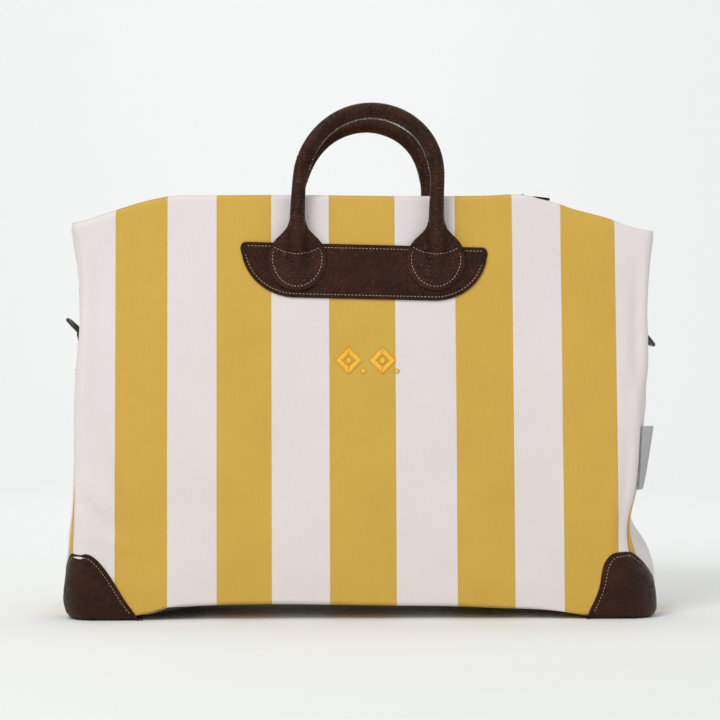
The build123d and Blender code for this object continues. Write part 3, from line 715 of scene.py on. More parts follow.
# the slip pocket lies on the back lining, its mouth standing a little open
pocketLow, pocketHigh = boxOf("slip_pocket")
x = np.linspace(pocketLow[0], pocketHigh[0], 60)[None]
z = np.linspace(pocketLow[2], pocketHigh[2], 40)[:, None]
acrossPocket = np.sin(np.pi * (x - pocketLow[0]) / (pocketHigh[0] - pocketLow[0]))
gape = 5.0 * smoothStep((z - pocketHigh[2] + 70) / 70) * acrossPocket
points = stack(x, halfDepth(z) + faceRelief(x, z, 1) - 3.6 - gape, z)
piece = makeSurface("slipPocket", [{"points": points}], [liningCotton])
finishPiece(thicken(piece, 0.6), "bag", "lining_cotton", "slip_pocket")

topForm = {
    "zipHalf": 11.0, "zipEnd": 172.0,
    "split": -22.0,            # the left and right halves meet at this X
    "bendLeft": (-142.0, -50.0), "bendRight": (135.0, 20.0), "bendSide": 30,
}


def topSheet(side, hand, drop=0.0, columns=110, rows=26):
    # half of the top on one side of the zip: rows run from the zip slot to the seam
    f = topForm
    end = endWall(hand)[0][-1]
    share = np.linspace(0, 1, columns)[None]
    v = np.linspace(0, 1, rows)[:, None]
    seamShare = np.interp(v * 56, end[:, 1], end[:, 0])
    x = f["split"] + (seamShare - f["split"]) * share
    slot = f["zipHalf"] * smoothStep((f["zipEnd"] + 3 - np.abs(x)) / 5)
    seam = halfDepth(topLine(x)) - bagForm["seamBack"] - 0.3 * drop
    y = side * (slot + (seam - slot) * v)
    ripple = 0.5 * softNoise(x, y, 46, 3 + side) * np.sin(np.pi * v) - 0.8 * np.sin(np.pi * v)
    fromSlot = np.exp(-((v * (seam - slot)) / 5) ** 2) * 0.4
    z = topLine(x) + ripple + fromSlot * (slot > 2) - drop
    uv = stack(x * -side, 402.0 + y * 0)
    return stack(x, y, z), uv


def bendTop(piece, side, hand, slot, *replaced):
    start, end = topForm["bendLeft" if hand < 0 else "bendRight"]
    y = side * topForm["bendSide"]
    body = "mouth_front" if side < 0 else "mouth_back"
    finishBend(applyModifiers(piece), ("bag", body), (start * mm, y * mm, 0.402), (end * mm, y * mm, 0.402),
               slot, *replaced)


def coilRun(side, low, high, pitch=1.75, wire=0.36, ring=7, around=5):
    # one nylon loop every pitch, bent round the tape's edge in a flat oval
    z0 = (boxOf("zip_coil_front")[0][2] + boxOf("zip_coil_front")[1][2]) / 2
    turn = np.linspace(-2.6, 2.6, ring)
    spin = np.linspace(0, 2 * np.pi, around + 1)[:-1]
    yMid = 3.4 - 3.5 * np.cos(turn / 2) ** 1.2
    zMid = 1.05 * np.sin(turn)
    path = np.stack([yMid, zMid], axis=1)
    way = unit(np.gradient(path, axis=0))
    out = np.stack([-way[:, 1], way[:, 0]], axis=1)
    grids = []
    start = low + (0 if side < 0 else pitch / 2)
    for x in np.arange(start, high, pitch):
        ringY = path[:, None, 0] + wire * out[:, None, 0] * np.cos(spin)
        ringZ = path[:, None, 1] + wire * out[:, None, 1] * np.cos(spin)
        points = stack(x + wire * 1.5 * np.sin(spin)[None], side * ringY, min(z0, topLine(x) - 1.5) + ringZ)
        grids.append({"points": points, "wrap": True, "flip": side > 0})
    return grids


for side, word in ((-1, "front"), (1, "back")):
    for hand, halfName in ((-1, "Left"), (1, "Right")):
        cadWords = [f"top_flap_{word}", f"flap_facing_{word}", f"zip_tape_{word}", f"zip_coil_{word}"]
        label = word.capitalize() + halfName
        ends = [f"top_end_{halfName.lower()}", f"zip_end_{halfName.lower()}"]
        points, uv = topSheet(side, hand)
        turned = (side < 0) != (hand < 0)
        piece = makeSurface(f"top{label}", [{"points": points, "uv": uv, "flip": turned}], [wallCanvas])
        bendTop(thicken(piece, 1.2), side, hand, "striped_canvas", cadWords[0], ends[0])
        points, uv = topSheet(side, hand, drop=1.5, columns=60, rows=14)
        piece = makeSurface(f"facing{label}", [{"points": points, "uv": uv, "flip": turned}], [liningCotton])
        bendTop(thicken(piece, 0.5), side, hand, "lining_cotton", cadWords[1])
        low, high = sorted((topForm["split"], hand * topForm["zipEnd"]))
        x = np.linspace(low, high, 80)[None]
        y = side * np.linspace(3.0, 17.8, 8)[:, None]
        points = stack(x, y, np.minimum(400.75, topLine(x) - 1.25) + 0 * y)
        piece = makeSurface(f"zipTape{label}", [{"points": points, "uv": stack(x, y),
                            "flip": side < 0}], [zipWeave])
        bendTop(thicken(piece, 0.6), side, hand, "zip_tape", cadWords[2], ends[1])
        piece = makeSurface(f"zipCoil{label}", coilRun(side, low + 0.4, high - 0.4), [nylonCoil])
        bendTop(piece, side, hand, "zip_coil", cadWords[3], ends[1])

# ---- leather
print("leather corners")


def stitchRun(path, normals, length=2.3, pitch=3.3, width=0.3, start=0.5, lift=0.08):
    # a capsule every pitch along the path, its middle standing off the hide and its ends sunk into it
    gaps = np.linalg.norm(np.diff(path, axis=0), axis=1)
    along = np.concatenate([[0], np.cumsum(gaps)])
    grids = []
    t = np.linspace(-1, 1, 6)
    spin = np.linspace(0, 2 * np.pi, 7)[:-1]
    girth = width * np.sqrt(np.clip(1 - t**4, 0.03, 1))
    for at in np.arange(start * pitch, along[-1] - length / 2, pitch):
        middle = np.array([np.interp(at, along, path[:, k]) for k in range(3)])
        ahead = np.array([np.interp(at + 1, along, path[:, k]) for k in range(3)])
        up = unit(np.array([np.interp(at, along, normals[:, k]) for k in range(3)]))
        way = unit(ahead - middle)
        sideWay = np.cross(way, up)
        rise = lift - 0.32 * t**2
        centre = middle + way * (t * length / 2)[:, None] + up * rise[:, None]
        ringPoints = centre[:, None] + girth[:, None, None] * (
            sideWay * np.cos(spin)[None, :, None] + up * np.sin(spin)[None, :, None])
        grids.append({"points": ringPoints, "wrap": True})
    return grids


def stitches(name, runs):
    return weld(makeSurface(name, [g for run in runs for g in run], [waxedThread]), 0.001)


def sewOn(name, runs):
    finishPiece(stitches(name, runs), "bag", "brown_leather")


def hide(name, grid, thickness, replaced):
    # a flat leather piece on the bag, with its cut edge showing
    piece = thicken(makeSurface(name, [grid], [cowhide, cutEdge]), thickness, rim=1)
    finishPiece(piece, "bag", "brown_leather", replaced)


cornerForm = {
    "reach": 60.0, "under": 68.0, "leather": 1.6, "lift": 1.75, "heel": 5.0, "stitchInset": 4.2,
    # round from the corner's middle along the long face, then the patch's height there
    "faceOutline": [(0, 63), (6, 62.7), (17.5, 60.8), (27, 53.2), (37, 40.9), (46.4, 26.6), (52, 17),
                    (58, 5.7), (60, 0.3)],
    # the same on the end, where the edge falls sooner
    "endOutline": [(0, 63), (5, 61.5), (11, 56), (19, 46.5), (30, 35), (42, 22.5), (52, 11), (60, 0.3)],
}


def cornerPoint(hand, u, z):
    # the walls u millimetres round from the middle of one corner: face, rounded corner, bulging end
    f = bagForm
    edgeKnots, middleKnots = endKnots(hand)
    radius = through(z, f["cornerRadius"]) * 1.15
    edge, middle, deep = np.abs(through(z, edgeKnots)), np.abs(through(z, middleKnots)), halfDepth(z)
    quarter = radius * np.pi / 2
    angle = np.clip(u / quarter + 0.5, 0, 1) * np.pi / 2
    x = edge - radius + radius * np.sin(angle) - np.clip(-u - quarter / 2, 0, None)
    y = deep - radius + radius * np.cos(angle) - np.clip(u - quarter / 2, 0, None)
    return x + (middle - edge) * (1 - np.clip(y / (deep - f["seamBack"]), 0, 1) ** 2.2), y


def cornerPatch(hand, side, lift, seed):
    # columns run round the corner, rows from the underside's arc up to the patch's own arc on the walls
    f = cornerForm
    u = np.linspace(-1, 1, 91)
    u = (np.sin(u * np.pi / 2) * 0.5 + u * 0.5) * (f["reach"] - 0.15)
    tall = np.where(u < 0, through(-u, f["faceOutline"]), through(u, f["endOutline"]))
    slope = np.gradient(tall, u)
    steep = np.sqrt(1 + slope**2)
    heel = np.minimum(f["heel"], 0.45 * tall)
    z = heel + (tall - heel) * np.linspace(0, 1, 44)[:, None]
    x, y = cornerPoint(hand, u[None] + 0 * z, z)
    walls = stack(x, y, z)
    rim = walls[0]
    phi = (u / (2 * f["reach"]) + 0.5) * np.pi / 2
    arcX = bagForm["halfLength"] - f["under"] * np.cos(phi)
    arcY = bagForm["baseHalfDepth"] - f["under"] * np.sin(phi)
    toward = np.stack([arcX - rim[:, 0], arcY - rim[:, 1]], axis=-1)
    reachIn = np.linalg.norm(toward, axis=-1, keepdims=True)
    toward = toward / np.maximum(reachIn, 1e-6)
    near = np.clip(reachIn / 12, 0, 1)
    heelRows = [np.concatenate([rim[:, :2] + toward * (heel * (1 - np.sin(t)))[:, None] * near,
                                (heel * (1 - np.cos(t)))[:, None]], axis=-1)
                for t in np.linspace(0, np.pi / 2, 7)[:-1]]
    inner = heelRows[0]
    flat = [np.concatenate([inner[:, :2] + (np.stack([arcX, arcY], axis=-1) - inner[:, :2]) * s,
                            inner[:, 2:]], axis=-1) for s in np.linspace(1, 0, 14)[:-1]]
    points = np.concatenate([np.array(flat), np.array(heelRows), walls])
    points = points * np.array([hand, side, 1.0])
    turned = hand * side > 0
    normals = gridNormals(points) * (-1 if turned else 1)
    # the hide's own relief: creases that run level, and a fuller roll round its edge
    rowsUnder = len(points) - 44
    level = np.arange(len(points))[:, None] - rowsUnder
    onWall = smoothStep((level + 3) / 6)
    fromArc = np.maximum(tall - points[..., 2], 0) / steep
    crease = softNoise(u[None] * 0.30 + 0 * points[..., 2], points[..., 2], 10.0, seed)
    swell = 0.30 * softNoise(u[None], points[..., 2], 30.0, seed + 3)
    crease = -0.45 * np.clip(crease - 0.35, 0, None) + swell
    stitchDip = -0.55 * np.exp(-((fromArc - f["stitchInset"]) / 1.3) ** 2)
    rolled = -0.9 * np.exp(-(fromArc / 1.6) ** 2)
    puff = 1.3 * smoothStep((fromArc - 5) / 14) * onWall
    push = lift + onWall * (crease * smoothStep(fromArc / 7) + stitchDip + rolled) + puff
    # only the walls stand off the cloth, the underside stays level on the ground
    push = push * np.where(onWall > 0.02, 1, 0) * smoothStep((level + 6) / 8)
    points = points + normals * push[..., None]
    points[..., 2] = np.maximum(points[..., 2], 0.02)
    wallRows = points[rowsUnder:]
    # the line of stitches runs beside the patch's edge, read from the patch's own grid
    lineU = u + f["stitchInset"] * slope / steep
    lineZ = tall - f["stitchInset"] / steep
    heelAt, tallAt = np.interp(lineU, u, heel), np.interp(lineU, u, tall)
    rowAt = (lineZ - heelAt) / (tallAt - heelAt) * (len(wallRows) - 1)
    columnAt = np.interp(lineU, u, np.arange(len(u)))
    seen = (lineZ > heelAt + 1) & (np.abs(lineU) < f["reach"] - f["stitchInset"])
    seamLine = onGrid(wallRows, rowAt[seen], columnAt[seen])
    seamNormals = onGrid(normals[rowsUnder:], rowAt[seen], columnAt[seen])
    uv = stack(u[None], points[..., 2])
    return points, uv, turned, seamLine, seamNormals


cornerSeed = 41
for hand, handWord in ((-1, "left"), (1, "right")):
    for side, sideWord in ((-1, "front"), (1, "back")):
        points, uv, turned, line, lineNormals = cornerPatch(hand, side, cornerForm["lift"], cornerSeed)
        cornerSeed += 10
        name = sideWord + handWord.capitalize()
        hide(f"corner{name.capitalize()}", {"points": points, "uv": uv, "flip": turned},
             cornerForm["leather"], f"corner_{sideWord}_{handWord}")
        sewOn(f"cornerStitches{name.capitalize()}", [stitchRun(line, lineNormals)])

# ---- handles
print("handles")
faceUp = np.array([0, (bagForm["baseHalfDepth"] - bagForm["topHalfDepth"]) / bagForm["top"], 1.0])
faceUp = faceUp / np.linalg.norm(faceUp)
handleForm = {
    "neck": (hingePlace("handle_front_fold")[2] - bagForm["top"]), "span": 66.0, "off": 10.8, "radius": 7.2,
    "archCentre": 15.2, "archRadius": 65.8, "footCentre": -61.0, "footHalf": 27.5, "footTall": 31.0,
    "seamHeight": -58.0,       # where the roll is sewn down across the foot
    "plate": (1.75, 3.7), "rib": 0.26, "ribPitch": 2.5,
    "ridge": 3.3, "ridgeWidth": 0.1,   # the roll's sewn edges stand inside the arch
    # height up the face, then the middle of the roll off the cloth, its radius, and the whole's half width
    "rise": [(-90, -13.0), (-80, -11.0), (-70, -6.5), (-60, -0.5), (-52, 4.0), (-44, 7.6), (-36, 9.8),
             (-28, 10.7), (-20, 10.8), (300, 10.8)],
    "girth": [(-90, 12.0), (-60, 11.0), (-50, 9.6), (-40, 8.2), (-30, 7.4), (-20, 7.2), (300, 7.2)],
    "width": [(-92.1, 0.4), (-91.4, 5.0), (-89.4, 11.5), (-84.2, 18.8), (-75.6, 24.8), (-66.5, 27.3),
              (-58.5, 27.4), (-50, 25.0), (-44, 20.6), (-39, 15.3), (-34, 10.8), (-29, 8.4), (-24, 7.4),
              (-18, 7.2), (300, 7.2)],
    "bend": (0.362, 0.396),    # in metres: the heights of the start and end points handed to finishBend
}


def onFace(x, v, lift, side):
    # a place by x, by height up the leaning face from the flat top, and by lift off the cloth
    z = bagForm["top"] + v * faceUp[2]
    relief = faceRelief(x, z, side) * smoothStep(-(v + 20) / 24)
    out = halfDepth(z) + relief + lift * faceUp[2]
    return stack(x, side * out, z + lift * faceUp[1])


def offFace(side, path):
    # the leaning face's outward direction, once for each place of the path
    return np.broadcast_to(side * np.array([0, faceUp[2], 0]) + np.array([0, 0, faceUp[1]]), path.shape)


def softMax(a, b, soft):
    # the larger of two, with the corner between them rounded
    return 0.5 * (a + b + np.sqrt((a - b) ** 2 + soft**2))


def handleLean(v):
    # the handles sit a little to the right and lean that way
    return 2.2 + 4.8 * smoothStep((v + 30) / 110)


def handleLine(step):
    # up one leg, round the arch, down the other: x, v and the distance from the foot's lower edge
    h = handleForm
    neck, centre, radius, span = h["neck"] / faceUp[2], h["archCentre"], h["archRadius"], h["span"]
    away = math.hypot(span, centre - neck)
    touchAt = math.atan2(neck - centre, span) + math.acos(radius / away)
    arc = np.linspace(touchAt, np.pi - touchAt, 200)
    leg = [(span, h["footCentre"] - h["footTall"] - 0.1), (span, neck)]
    right = np.concatenate([leg, np.stack([radius * np.cos(arc), centre + radius * np.sin(arc)], axis=1),
                            [(-span, neck), (-span, leg[0][1])]])
    line = resample(right, 0.5)
    # rounds the small turn at the neck
    pad = np.pad(line, ((12, 12), (0, 0)), mode="edge")
    smooth = np.stack([np.convolve(pad[:, k], np.ones(25) / 25, "valid") for k in range(2)], axis=1)
    keep = smoothStep((np.abs(np.arange(len(line)) - len(line) / 2) - (len(line) / 2 - 40)) / 20)[:, None]
    line = smooth * (1 - keep) + line * keep
    line[:, 0] += handleLean(line[:, 1])
    return resample(line, step)


def handleTop(a, v):
    # the outer skin: a round roll that sinks into a flat foot, with a sewn valley across the foot
    h = handleForm
    rise, girth = through(v, h["rise"]), through(v, h["girth"])
    roundTop = rise + np.sqrt(np.maximum(girth**2 - np.minimum(np.abs(a), girth) ** 2, 0))
    flat = smoothStep((-24 - v) / 14)
    seam = h["seamHeight"] + 7.5 * np.abs(a / 22.5) ** 1.6
    valley = -0.6 * np.exp(-((v - seam) / 1.3) ** 2)
    return flat * (softMax(roundTop, h["plate"][1], 2.2) + valley) + (1 - flat) * roundTop


def makeHandle(side, name, body, pieces):
    h = handleForm
    line = handleLine(0.62)
    way = unit(np.gradient(line, axis=0))
    acrossWay = np.stack([way[:, 1], -way[:, 0]], axis=1)
    v = line[:, 1]
    # below the neck the sections lie square to the face
    half = through(v, h["width"])
    upper = np.linspace(-1, 1, 25)
    upper = np.sin(upper * np.pi / 2)
    a = half[:, None] * upper[None]
    top = handleTop(a, v[:, None])
    flatShare = smoothStep((-24 - v) / 14)[:, None]
    lowShare = smoothStep((v + 42) / 18)[:, None]
    roundLow = h["off"] - np.sqrt(np.maximum(h["radius"] ** 2 - np.minimum(np.abs(a), h["radius"]) ** 2, 0))
    low = (1 - lowShare) * h["plate"][0] + lowShare * roundLow
    edgeDrop = flatShare * 0.7 * np.abs(upper[None]) ** 16
    top = np.maximum(top - edgeDrop, low)
    # relief: fine ribs run round the roll, creases run across the flat of the foot
    alongLine = np.concatenate([[0], np.cumsum(np.linalg.norm(np.diff(line, axis=0), axis=1))])[:, None]
    waver = 1.2 * softNoise(alongLine, a * 1.5, 18, 61 + side)
    ribs = h["rib"] * np.sin((alongLine + waver) * 2 * np.pi / h["ribPitch"])
    ribs = ribs * (0.55 + 0.45 * softNoise(alongLine, a, 25, 66))
    onRoll = smoothStep((v + 46) / 20)[:, None]
    creases = np.clip(softNoise(a * 0.3, alongLine, 8.5, 71 + side) - 0.3, 0, None)
    creases = -0.45 * creases * (1 - onRoll)
    top = top + ribs * onRoll + creases
    low = low - ribs * onRoll * 0.8
    ringAcross = np.concatenate([a, a[:, ::-1][:, 1:-1]], axis=1)
    ringLift = np.concatenate([top, low[:, ::-1][:, 1:-1]], axis=1)
    sideRib = (ribs * onRoll)[:, [0]]
    ringAcross = ringAcross + sideRib * np.sign(ringAcross) * (np.abs(ringAcross) / half[:, None]) ** 4
    inside = np.clip(1 + ringAcross / half[:, None], 0, None) / h["ridgeWidth"]
    ringAcross = ringAcross - h["ridge"] * np.exp(-inside**2) * smoothStep((v - 4) / 34)[:, None]
    x = line[:, [0]] + acrossWay[:, [0]] * ringAcross
    vAll = line[:, [1]] + acrossWay[:, [1]] * ringAcross
    points = onFace(x, vAll, ringLift, side)
    grid = {"points": points, "wrap": True, "uv": stack(ringAcross, alongLine)}
    piece = makeSurface(name, [grid], [rolledHide])
    weld(piece)
    hinge = hingePlace("handle_front_fold")
    start, end = [(0, side * abs(hinge[1]) * mm, height) for height in h["bend"]]
    finishBend(piece, ("bag", body), start, end, "brown_leather", *pieces)
    # stitches: a ring round each foot, a V where the roll comes in, and a seam inside the arch
    runs = []
    for hand in (-1, 1):
        turn = np.linspace(-2.55, 2.55, 120)
        xs = handleLean(-60) + hand * h["span"] + (h["footHalf"] - 4.0) * np.sin(turn)
        vs = h["footCentre"] - (h["footTall"] - 4.0) * np.cos(turn) * np.where(np.abs(turn) > 1.57, 0.72, 1)
        path = onFace(xs, vs, h["plate"][1] + 0.22 + 0 * xs, side)
        up = offFace(side, path)
        runs.append(stitchRun(path, up))
        across = np.linspace(-1, 1, 80)
        xs = handleLean(-60) + hand * h["span"] + 22.5 * across
        vs = h["seamHeight"] + 7.5 * np.abs(across) ** 1.6
        runs.append(stitchRun(onFace(xs, vs, handleTop(22.5 * across, vs) + 0.25, side), up[:80]))
    sewOn(f"{name}FootStitches", runs)
    inner = handleLine(1.0)
    inner = inner[inner[:, 1] > 22]      # only where the ridge has its full height
    way = unit(np.gradient(inner, axis=0))
    towards = np.stack([-way[:, 1], way[:, 0]], axis=1)
    # the seam's stitches lie on the ridge's outer side
    path, outWay, base = [
        onFace(inner[:, 0] + towards[:, 0] * inward, inner[:, 1] + towards[:, 1] * inward,
               h["off"] + outward + 0 * inner[:, 0], side)
        for inward, outward in ((h["radius"] + 1.4, 2.75), (0.44, 0.9), (0, 0))]
    piece = stitches(f"{name}SeamStitches", [stitchRun(path, unit(outWay - base), length=2.2, pitch=3.4)])
    finishBend(piece, ("bag", body), start, end, "brown_leather")


for side, word in ((-1, "front"), (1, "back")):
    makeHandle(side, f"handle{word.capitalize()}", f"grip_{word}",
               [f"handle_{word}", f"handle_core_{word}", f"handle_foot_{word}_left",
                f"handle_foot_{word}_right"])

print("handle patches")
patchForm = {
    "half": 117.0, "top": -48.0, "tall": 52.0, "flat": 66.0, "tip": 4.5, "leather": 1.6,
    "tilt": 1.3,               # degrees, the patch is sewn on a little askew
    "stitch": 3.6,
}


def patchLow(x, inset=0.0):
    # the boat's lower edge, flat in the middle and rising as a quarter ellipse at each end
    p = patchForm
    past = np.clip((np.abs(x) - p["flat"]) / (p["half"] - inset - p["flat"]), 0, 1)
    return p["top"] - p["tip"] - (p["tall"] - p["tip"] - inset) * np.sqrt(1 - past**2)


def patchHigh(x):
    # straight, with its two tips rounded down
    p = patchForm
    past = np.clip((np.abs(x) - p["half"] + p["tip"]) / p["tip"], 0, 1)
    return p["top"] - p["tip"] * (1 - np.sqrt(1 - past**2))


for side, word in ((-1, "Front"), (1, "Back")):
    p = patchForm
    s = np.linspace(-1, 1, 190)
    x = (p["half"] - 0.05) * (0.6 * s + 0.4 * np.sin(s * np.pi / 2))
    rowShare = np.linspace(0, 1, 56)[:, None]
    low = patchLow(x)[None]
    v = low + (patchHigh(x)[None] - low) * rowShare
    xGrid = np.broadcast_to(x[None], v.shape)
    edge = np.minimum(p["top"] - v, (v - low) * np.clip(1.25 - np.abs(xGrid) / 200, 0.5, 1))
    crease = softNoise(xGrid * 0.3, v, 9.0, 83 + side)
    lift = 0.05 + p["leather"] - 0.35 * np.clip(crease - 0.35, 0, None) * smoothStep(edge / 6)
    stitchDip = 0.35 * np.exp(-((edge - p["stitch"]) / 1.2) ** 2)
    lift = lift + 0.25 * softNoise(xGrid, v, 34, 87) * smoothStep(edge / 8) - stitchDip
    lift = lift + 0.25 * smoothStep((edge - 5) / 6)
    slope = math.sin(math.radians(p["tilt"])) * side
    points = onFace(xGrid, v + xGrid * slope, lift, side)
    hide(f"handlePatch{word}", {"points": points, "flip": side > 0, "uv": stack(xGrid, v)}, p["leather"],
         f"handle_patch_{word.lower()}")
    xs = np.linspace(-(p["half"] - p["stitch"] - 0.5), p["half"] - p["stitch"] - 0.5, 400)
    lower = np.stack([xs, patchLow(xs, p["stitch"])], axis=1)
    upperLine = np.stack([xs[::-1], np.full(400, p["top"] - p["stitch"])], axis=1)
    runs = []
    for path in (lower, upperLine):
        path = resample(path, 1.0)
        ring = onFace(path[:, 0], path[:, 1] + path[:, 0] * slope, p["leather"] - 0.1 + 0 * path[:, 0], side)
        runs.append(stitchRun(ring, offFace(side, ring)))
    sewOn(f"handlePatchStitches{word}", runs)

# ---- ring tabs, rings and zip tabs
print("tabs and rings")
tabForm = {"half": 11.0, "leather": 1.7, "low": 215.0}
for hand, word in ((-1, "left"), (1, "right")):
    t = tabForm
    pivot = joints[f"ring_{word}_swing"]["pos_m"]
    barX, barZ = abs(pivot[0] / mm), pivot[2] / mm
    middleKnots = endKnots(hand)[1]
    loop = 2.1 + t["leather"]
    z1 = np.linspace(t["low"], barZ - 2.5, 26)
    share = (z1 - t["low"]) / (barZ - 2.5 - t["low"])
    wall = np.abs(through(z1, middleKnots))
    # the leather bellies out, all of it below the hanging ring
    belly = 4.4 * np.sin(np.pi * np.clip(share / 0.62, 0, 1)) ** 1.3
    upToBar = share**3 * (barX + loop - wall[-1] - 3.7)
    outer = np.stack([wall + 2 * t["leather"] + 0.3 + belly + upToBar, z1], axis=1)
    turn = np.linspace(-0.35, np.pi + 0.4, 20)
    overBar = np.stack([barX + loop * np.cos(turn), barZ + loop * np.sin(turn)], axis=1)
    inner = np.stack([wall + t["leather"] + 0.2 + belly * 0.35 * (1 - share), z1], axis=1)[::-1]
    profile = resample(np.concatenate([outer, overBar, inner[3:]]), 1.3)
    across = np.linspace(-1, 1, 22)
    narrow = np.interp(profile[:, 1], [t["low"], t["low"] + 3, t["low"] + 9, 400], [0.62, 0.86, 1.0, 1.0])
    y = t["half"] * across[None] * narrow[:, None]
    bend = 0.8 * (1 - np.abs(across[None]) ** 2)
    points = stack(hand * (profile[:, [0]] + bend - 0.8), y, profile[:, [1]] + 0 * y)
    hide(f"ringTab{word.capitalize()}", {"points": points, "flip": hand < 0}, t["leather"],
         f"ring_tab_{word}")
    runs = []
    face = outer[1:20]
    for yAt in (-(t["half"] - 3), t["half"] - 3):
        y = yAt * np.interp(face[:, 1], [t["low"], t["low"] + 9], [0.8, 1.0])
        path = stack(hand * (face[:, 0] + 0.1), y, face[:, 1])
        runs.append(stitchRun(path, np.broadcast_to([hand, 0, 0], path.shape)))
    sewOn(f"ringTabStitches{word.capitalize()}", runs)

for word in ("left", "right"):
    low, high = boxOf(f"zip_tab_{word}")
    middle, half = (low + high) / 2, (high - low) / 2
    s, t = np.meshgrid(np.linspace(-1, 1, 40), np.linspace(-1, 1, 40))
    # a square grid pulled in to a rounded rectangle
    ex = s * np.sqrt(1 - 0.18 * t**6) * half[0]
    ey = t * np.sqrt(1 - 0.18 * s**6) * half[1]
    edge = np.minimum(half[0] - np.abs(ex), half[1] - np.abs(ey))
    stitchDip = 0.35 * np.exp(-((edge - 3) / 1.1) ** 2)
    zTop = topLine(middle[0] + ex) + 1.5 + 0.4 * smoothStep(edge / 4) - stitchDip
    points = stack(middle[0] + ex, ey, zTop + 0.12 * softNoise(ex, ey, 12, 91))
    hide(f"zipTab{word.capitalize()}", {"points": points}, 1.5, f"zip_tab_{word}")
    ring = np.array([(-1, -1), (1, -1), (1, 1), (-1, 1), (-1, -1)]) * (half[:2] - 3.2)
    ring = resample(ring.astype(float), 0.5)
    path = stack(middle[0] + ring[:, 0], ring[:, 1], topLine(middle[0] + ring[:, 0]) + 1.6)
    upright = np.broadcast_to([0, 0, 1], path.shape)
    sewOn(f"zipTabStitches{word.capitalize()}", [stitchRun(path, upright)])

# ---- sewn motif and label
print("motif and label")
motifForm = {
    "height": 1.1, "thread": 0.6, "middle": (2.5, 244.0),
    "halfWide": 12.5, "halfTall": 12.5, "stroke": 6.2,
}


def satinRow(cx, cz, low, high, inner, outer, rim=0.0):
    # satin stitches one above another between two outlines, ribbed by their threads and rounded across
    m = motifForm
    v = np.linspace(low - rim, high + rim, int((high - low) / 0.1))[:, None]
    s = np.linspace(0, 1, 12)[None]
    left, right = inner(v) - rim, outer(v) + rim
    threads = np.abs(np.sin(v * np.pi / m["thread"]))
    lift = np.sqrt(np.clip(1 - (2 * s - 1) ** 4, 0, 1)) * (0.75 + 0.25 * threads)
    lift = lift * smoothStep((right - left) / 1.4)
    lift = m["height"] * lift if rim == 0 else 0.35 + 0 * lift
    return {"points": facePoint(cx + left + (right - left) * s, cz + v + 0 * s, -1, 0.02 + lift)}


def diamondOutline(v, half, shrink=0.0):
    m = motifForm
    return np.clip(m["halfWide"] * (1 - np.abs(v) / m["halfTall"]) - shrink, 0, None) * half


def dotOutline(v, size, half):
    return half * np.sqrt(np.clip(size**2 - v**2, 0, None))


def sewnShapes(rim):
    # two open diamonds, each with a dot in it and a dot at its foot
    m, grids = motifForm, []
    cx, cz = m["middle"]
    tall = m["halfTall"]
    for at in (-17.5, 14.5):
        grids.append(satinRow(cx + at, cz, -tall, tall, lambda v: diamondOutline(v, -1),
                              lambda v: diamondOutline(v, -1, m["stroke"]), rim))
        grids.append(satinRow(cx + at, cz, -tall, tall, lambda v: diamondOutline(v, 1, m["stroke"]),
                              lambda v: diamondOutline(v, 1), rim))
        for x, z, size in ((0, 0, 2.6), (13.6, -10.0, 2.1)):
            grids.append(satinRow(cx + at + x, cz + z, -size, size, lambda v, r=size: dotOutline(v, r, -1),
                                  lambda v, r=size: dotOutline(v, r, 1), rim))
    return grids


finishPiece(makeSurface("sewnMotif", sewnShapes(0.0), [goldThread]), "bag", "gold_thread", "badge")
finishPiece(makeSurface("sewnMotifEdge", sewnShapes(0.45), [goldEdge]), "bag", "gold_thread")

labelForm = {"low": 121.0, "high": 181.5, "wide": 13.5}
z = np.linspace(labelForm["low"], labelForm["high"], 60)[:, None]
s = np.linspace(0, 1, 16)[None]
share = (z - labelForm["low"]) / (labelForm["high"] - labelForm["low"])
rootX = through(z, bagForm["rightEdge"]) - 0.4
reach = labelForm["wide"] * s
turnOut = np.radians(28 + 34 * share)
curl = 1.5 * np.sin(np.pi * share) * s**2
grids = []
for layer in (0, 1):
    # the label is folded, so its second layer lies behind the first and meets it at the outer edge
    gap = layer * np.sqrt(np.clip(1 - s**6, 0, 1))
    x = rootX + reach * np.sin(turnOut) + 0.9 * gap * np.cos(turnOut)
    y = -(halfDepth(z) - bagForm["seamBack"]) + reach * np.cos(turnOut) * 0.9 + curl - 0.5 * gap
    grids.append({"points": stack(x, y, z + 0 * s), "uv": stack(reach, z), "flip": layer == 1})
piece = makeSurface("sideLabel", grids, [labelWeave])
finishPiece(thicken(piece, 0.35), "bag", "grey_label", "side_label")

# the pull and its leather droop from the slider's post, turned about its pin
pullDroop = math.radians(6)
pinX, _, pinZ = joints["zip_pull_flip"]["pos_m"]
for node, name, look, slot in (("zip_pull", "zipPull", blackEnamel, "black_metal"),
                               ("pull_leather", "pullLeather", cowhide, "brown_leather")):
    mesh = frame["nodes"][node].data.copy()
    spots = np.empty(len(mesh.vertices) * 3)
    mesh.vertices.foreach_get("co", spots)
    spots = spots.reshape(-1, 3)
    dx, dz = spots[:, 0] - pinX, spots[:, 2] - pinZ
    spots[:, 0] = pinX + dx * math.cos(pullDroop) + dz * math.sin(pullDroop)
    spots[:, 2] = pinZ - dx * math.sin(pullDroop) + dz * math.cos(pullDroop)
    mesh.vertices.foreach_set("co", spots.ravel())
    mesh.materials.clear()
    mesh.materials.append(look)
    piece = bpy.data.objects.new(name, mesh)
    bpy.context.scene.collection.objects.link(piece)
    finishPiece(weld(piece, 0.001), "pull", slot, node)

for word, look in (("zip_slider", blackEnamel), ("d_ring_left", blackEnamel), ("d_ring_right", blackEnamel),
                   ("base_board", fibreBoard)):
    mesh = frame["nodes"][word].data
    mesh.materials.clear()
    mesh.materials.append(look)

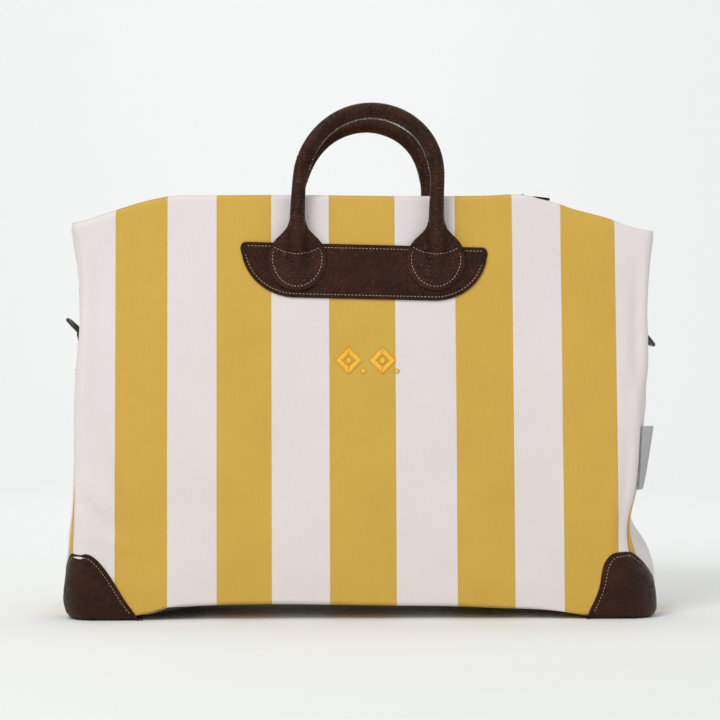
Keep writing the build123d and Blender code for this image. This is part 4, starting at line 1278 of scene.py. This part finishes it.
# ---- studio: pale floor that sweeps up behind, soft light, camera
studio = {
    "cameraDistance": 2.172, "azimuth": -1.96, "height": 0.2445, "lens": 114.4,
    "targetX": -0.0043, "targetY": -0.075,
    "floor": "#EFF1F0", "worldStrength": 0.52,
    # name, place, aim, size and power of each soft box
    "boxes": [("keyBox", (-1.3, -2.1, 2.4), (0, 0, 0.25), 1.3, 48.5),
              ("fillBox", (2.0, -2.4, 1.3), (0, 0, 0.25), 1.8, 10.0),
              ("backBox", (0.0, 1.2, 2.9), (0, 3.3, 0.9), 2.6, 38.0)],
}


def makeStudio():
    # floor and backdrop are one sheet: flat, then a quarter turn, then upright
    reach, back, bend = 30000, 2200, 1300
    turn = np.linspace(0, np.pi / 2, 24)
    y = np.concatenate([[-reach], back + bend * np.sin(turn), [back + bend]])
    z = np.concatenate([[0], bend * (1 - np.cos(turn)), [7000]])
    x = np.linspace(-reach, reach, 3)
    points = stack(x[None], y[:, None], z[:, None])
    floorPaint = plainMaterial("paleStudioSweep", studio["floor"], studio["floor"], 2.0, 0.95, 50.0, 0.01)
    sweep = makeSurface("studioSweep", [{"points": points, "flip": False}], [floorPaint])
    world = bpy.data.worlds.new("studioWorld")
    world.use_nodes = True
    sky = world.node_tree.nodes["Background"]
    sky.inputs[0].default_value = toLinear("#FFFFFF")
    sky.inputs[1].default_value = studio["worldStrength"]
    bpy.context.scene.world = world
    for name, place, aim, size, power in studio["boxes"]:
        data = bpy.data.lights.new(name, "AREA")
        data.shape, data.size, data.energy = "SQUARE", size, power
        lamp = bpy.data.objects.new(name, data)
        lamp.location = place
        lamp.rotation_euler = (Vector(aim) - Vector(place)).to_track_quat("-Z", "Y").to_euler()
        bpy.context.scene.collection.objects.link(lamp)
    data = bpy.data.cameras.new("camera")
    data.lens, data.sensor_width = studio["lens"], 36.0
    camera = bpy.data.objects.new("camera", data)
    turnCamera = math.radians(studio["azimuth"])
    away = studio["cameraDistance"]
    camera.location = (studio["targetX"] + away * math.sin(turnCamera),
                       studio["targetY"] - away * math.cos(turnCamera), studio["height"])
    camera.rotation_euler = (math.pi / 2, 0, turnCamera)
    bpy.context.scene.collection.objects.link(camera)
    bpy.context.scene.camera = camera
    bpy.context.scene.view_settings.view_transform = "Standard"


makeStudio()
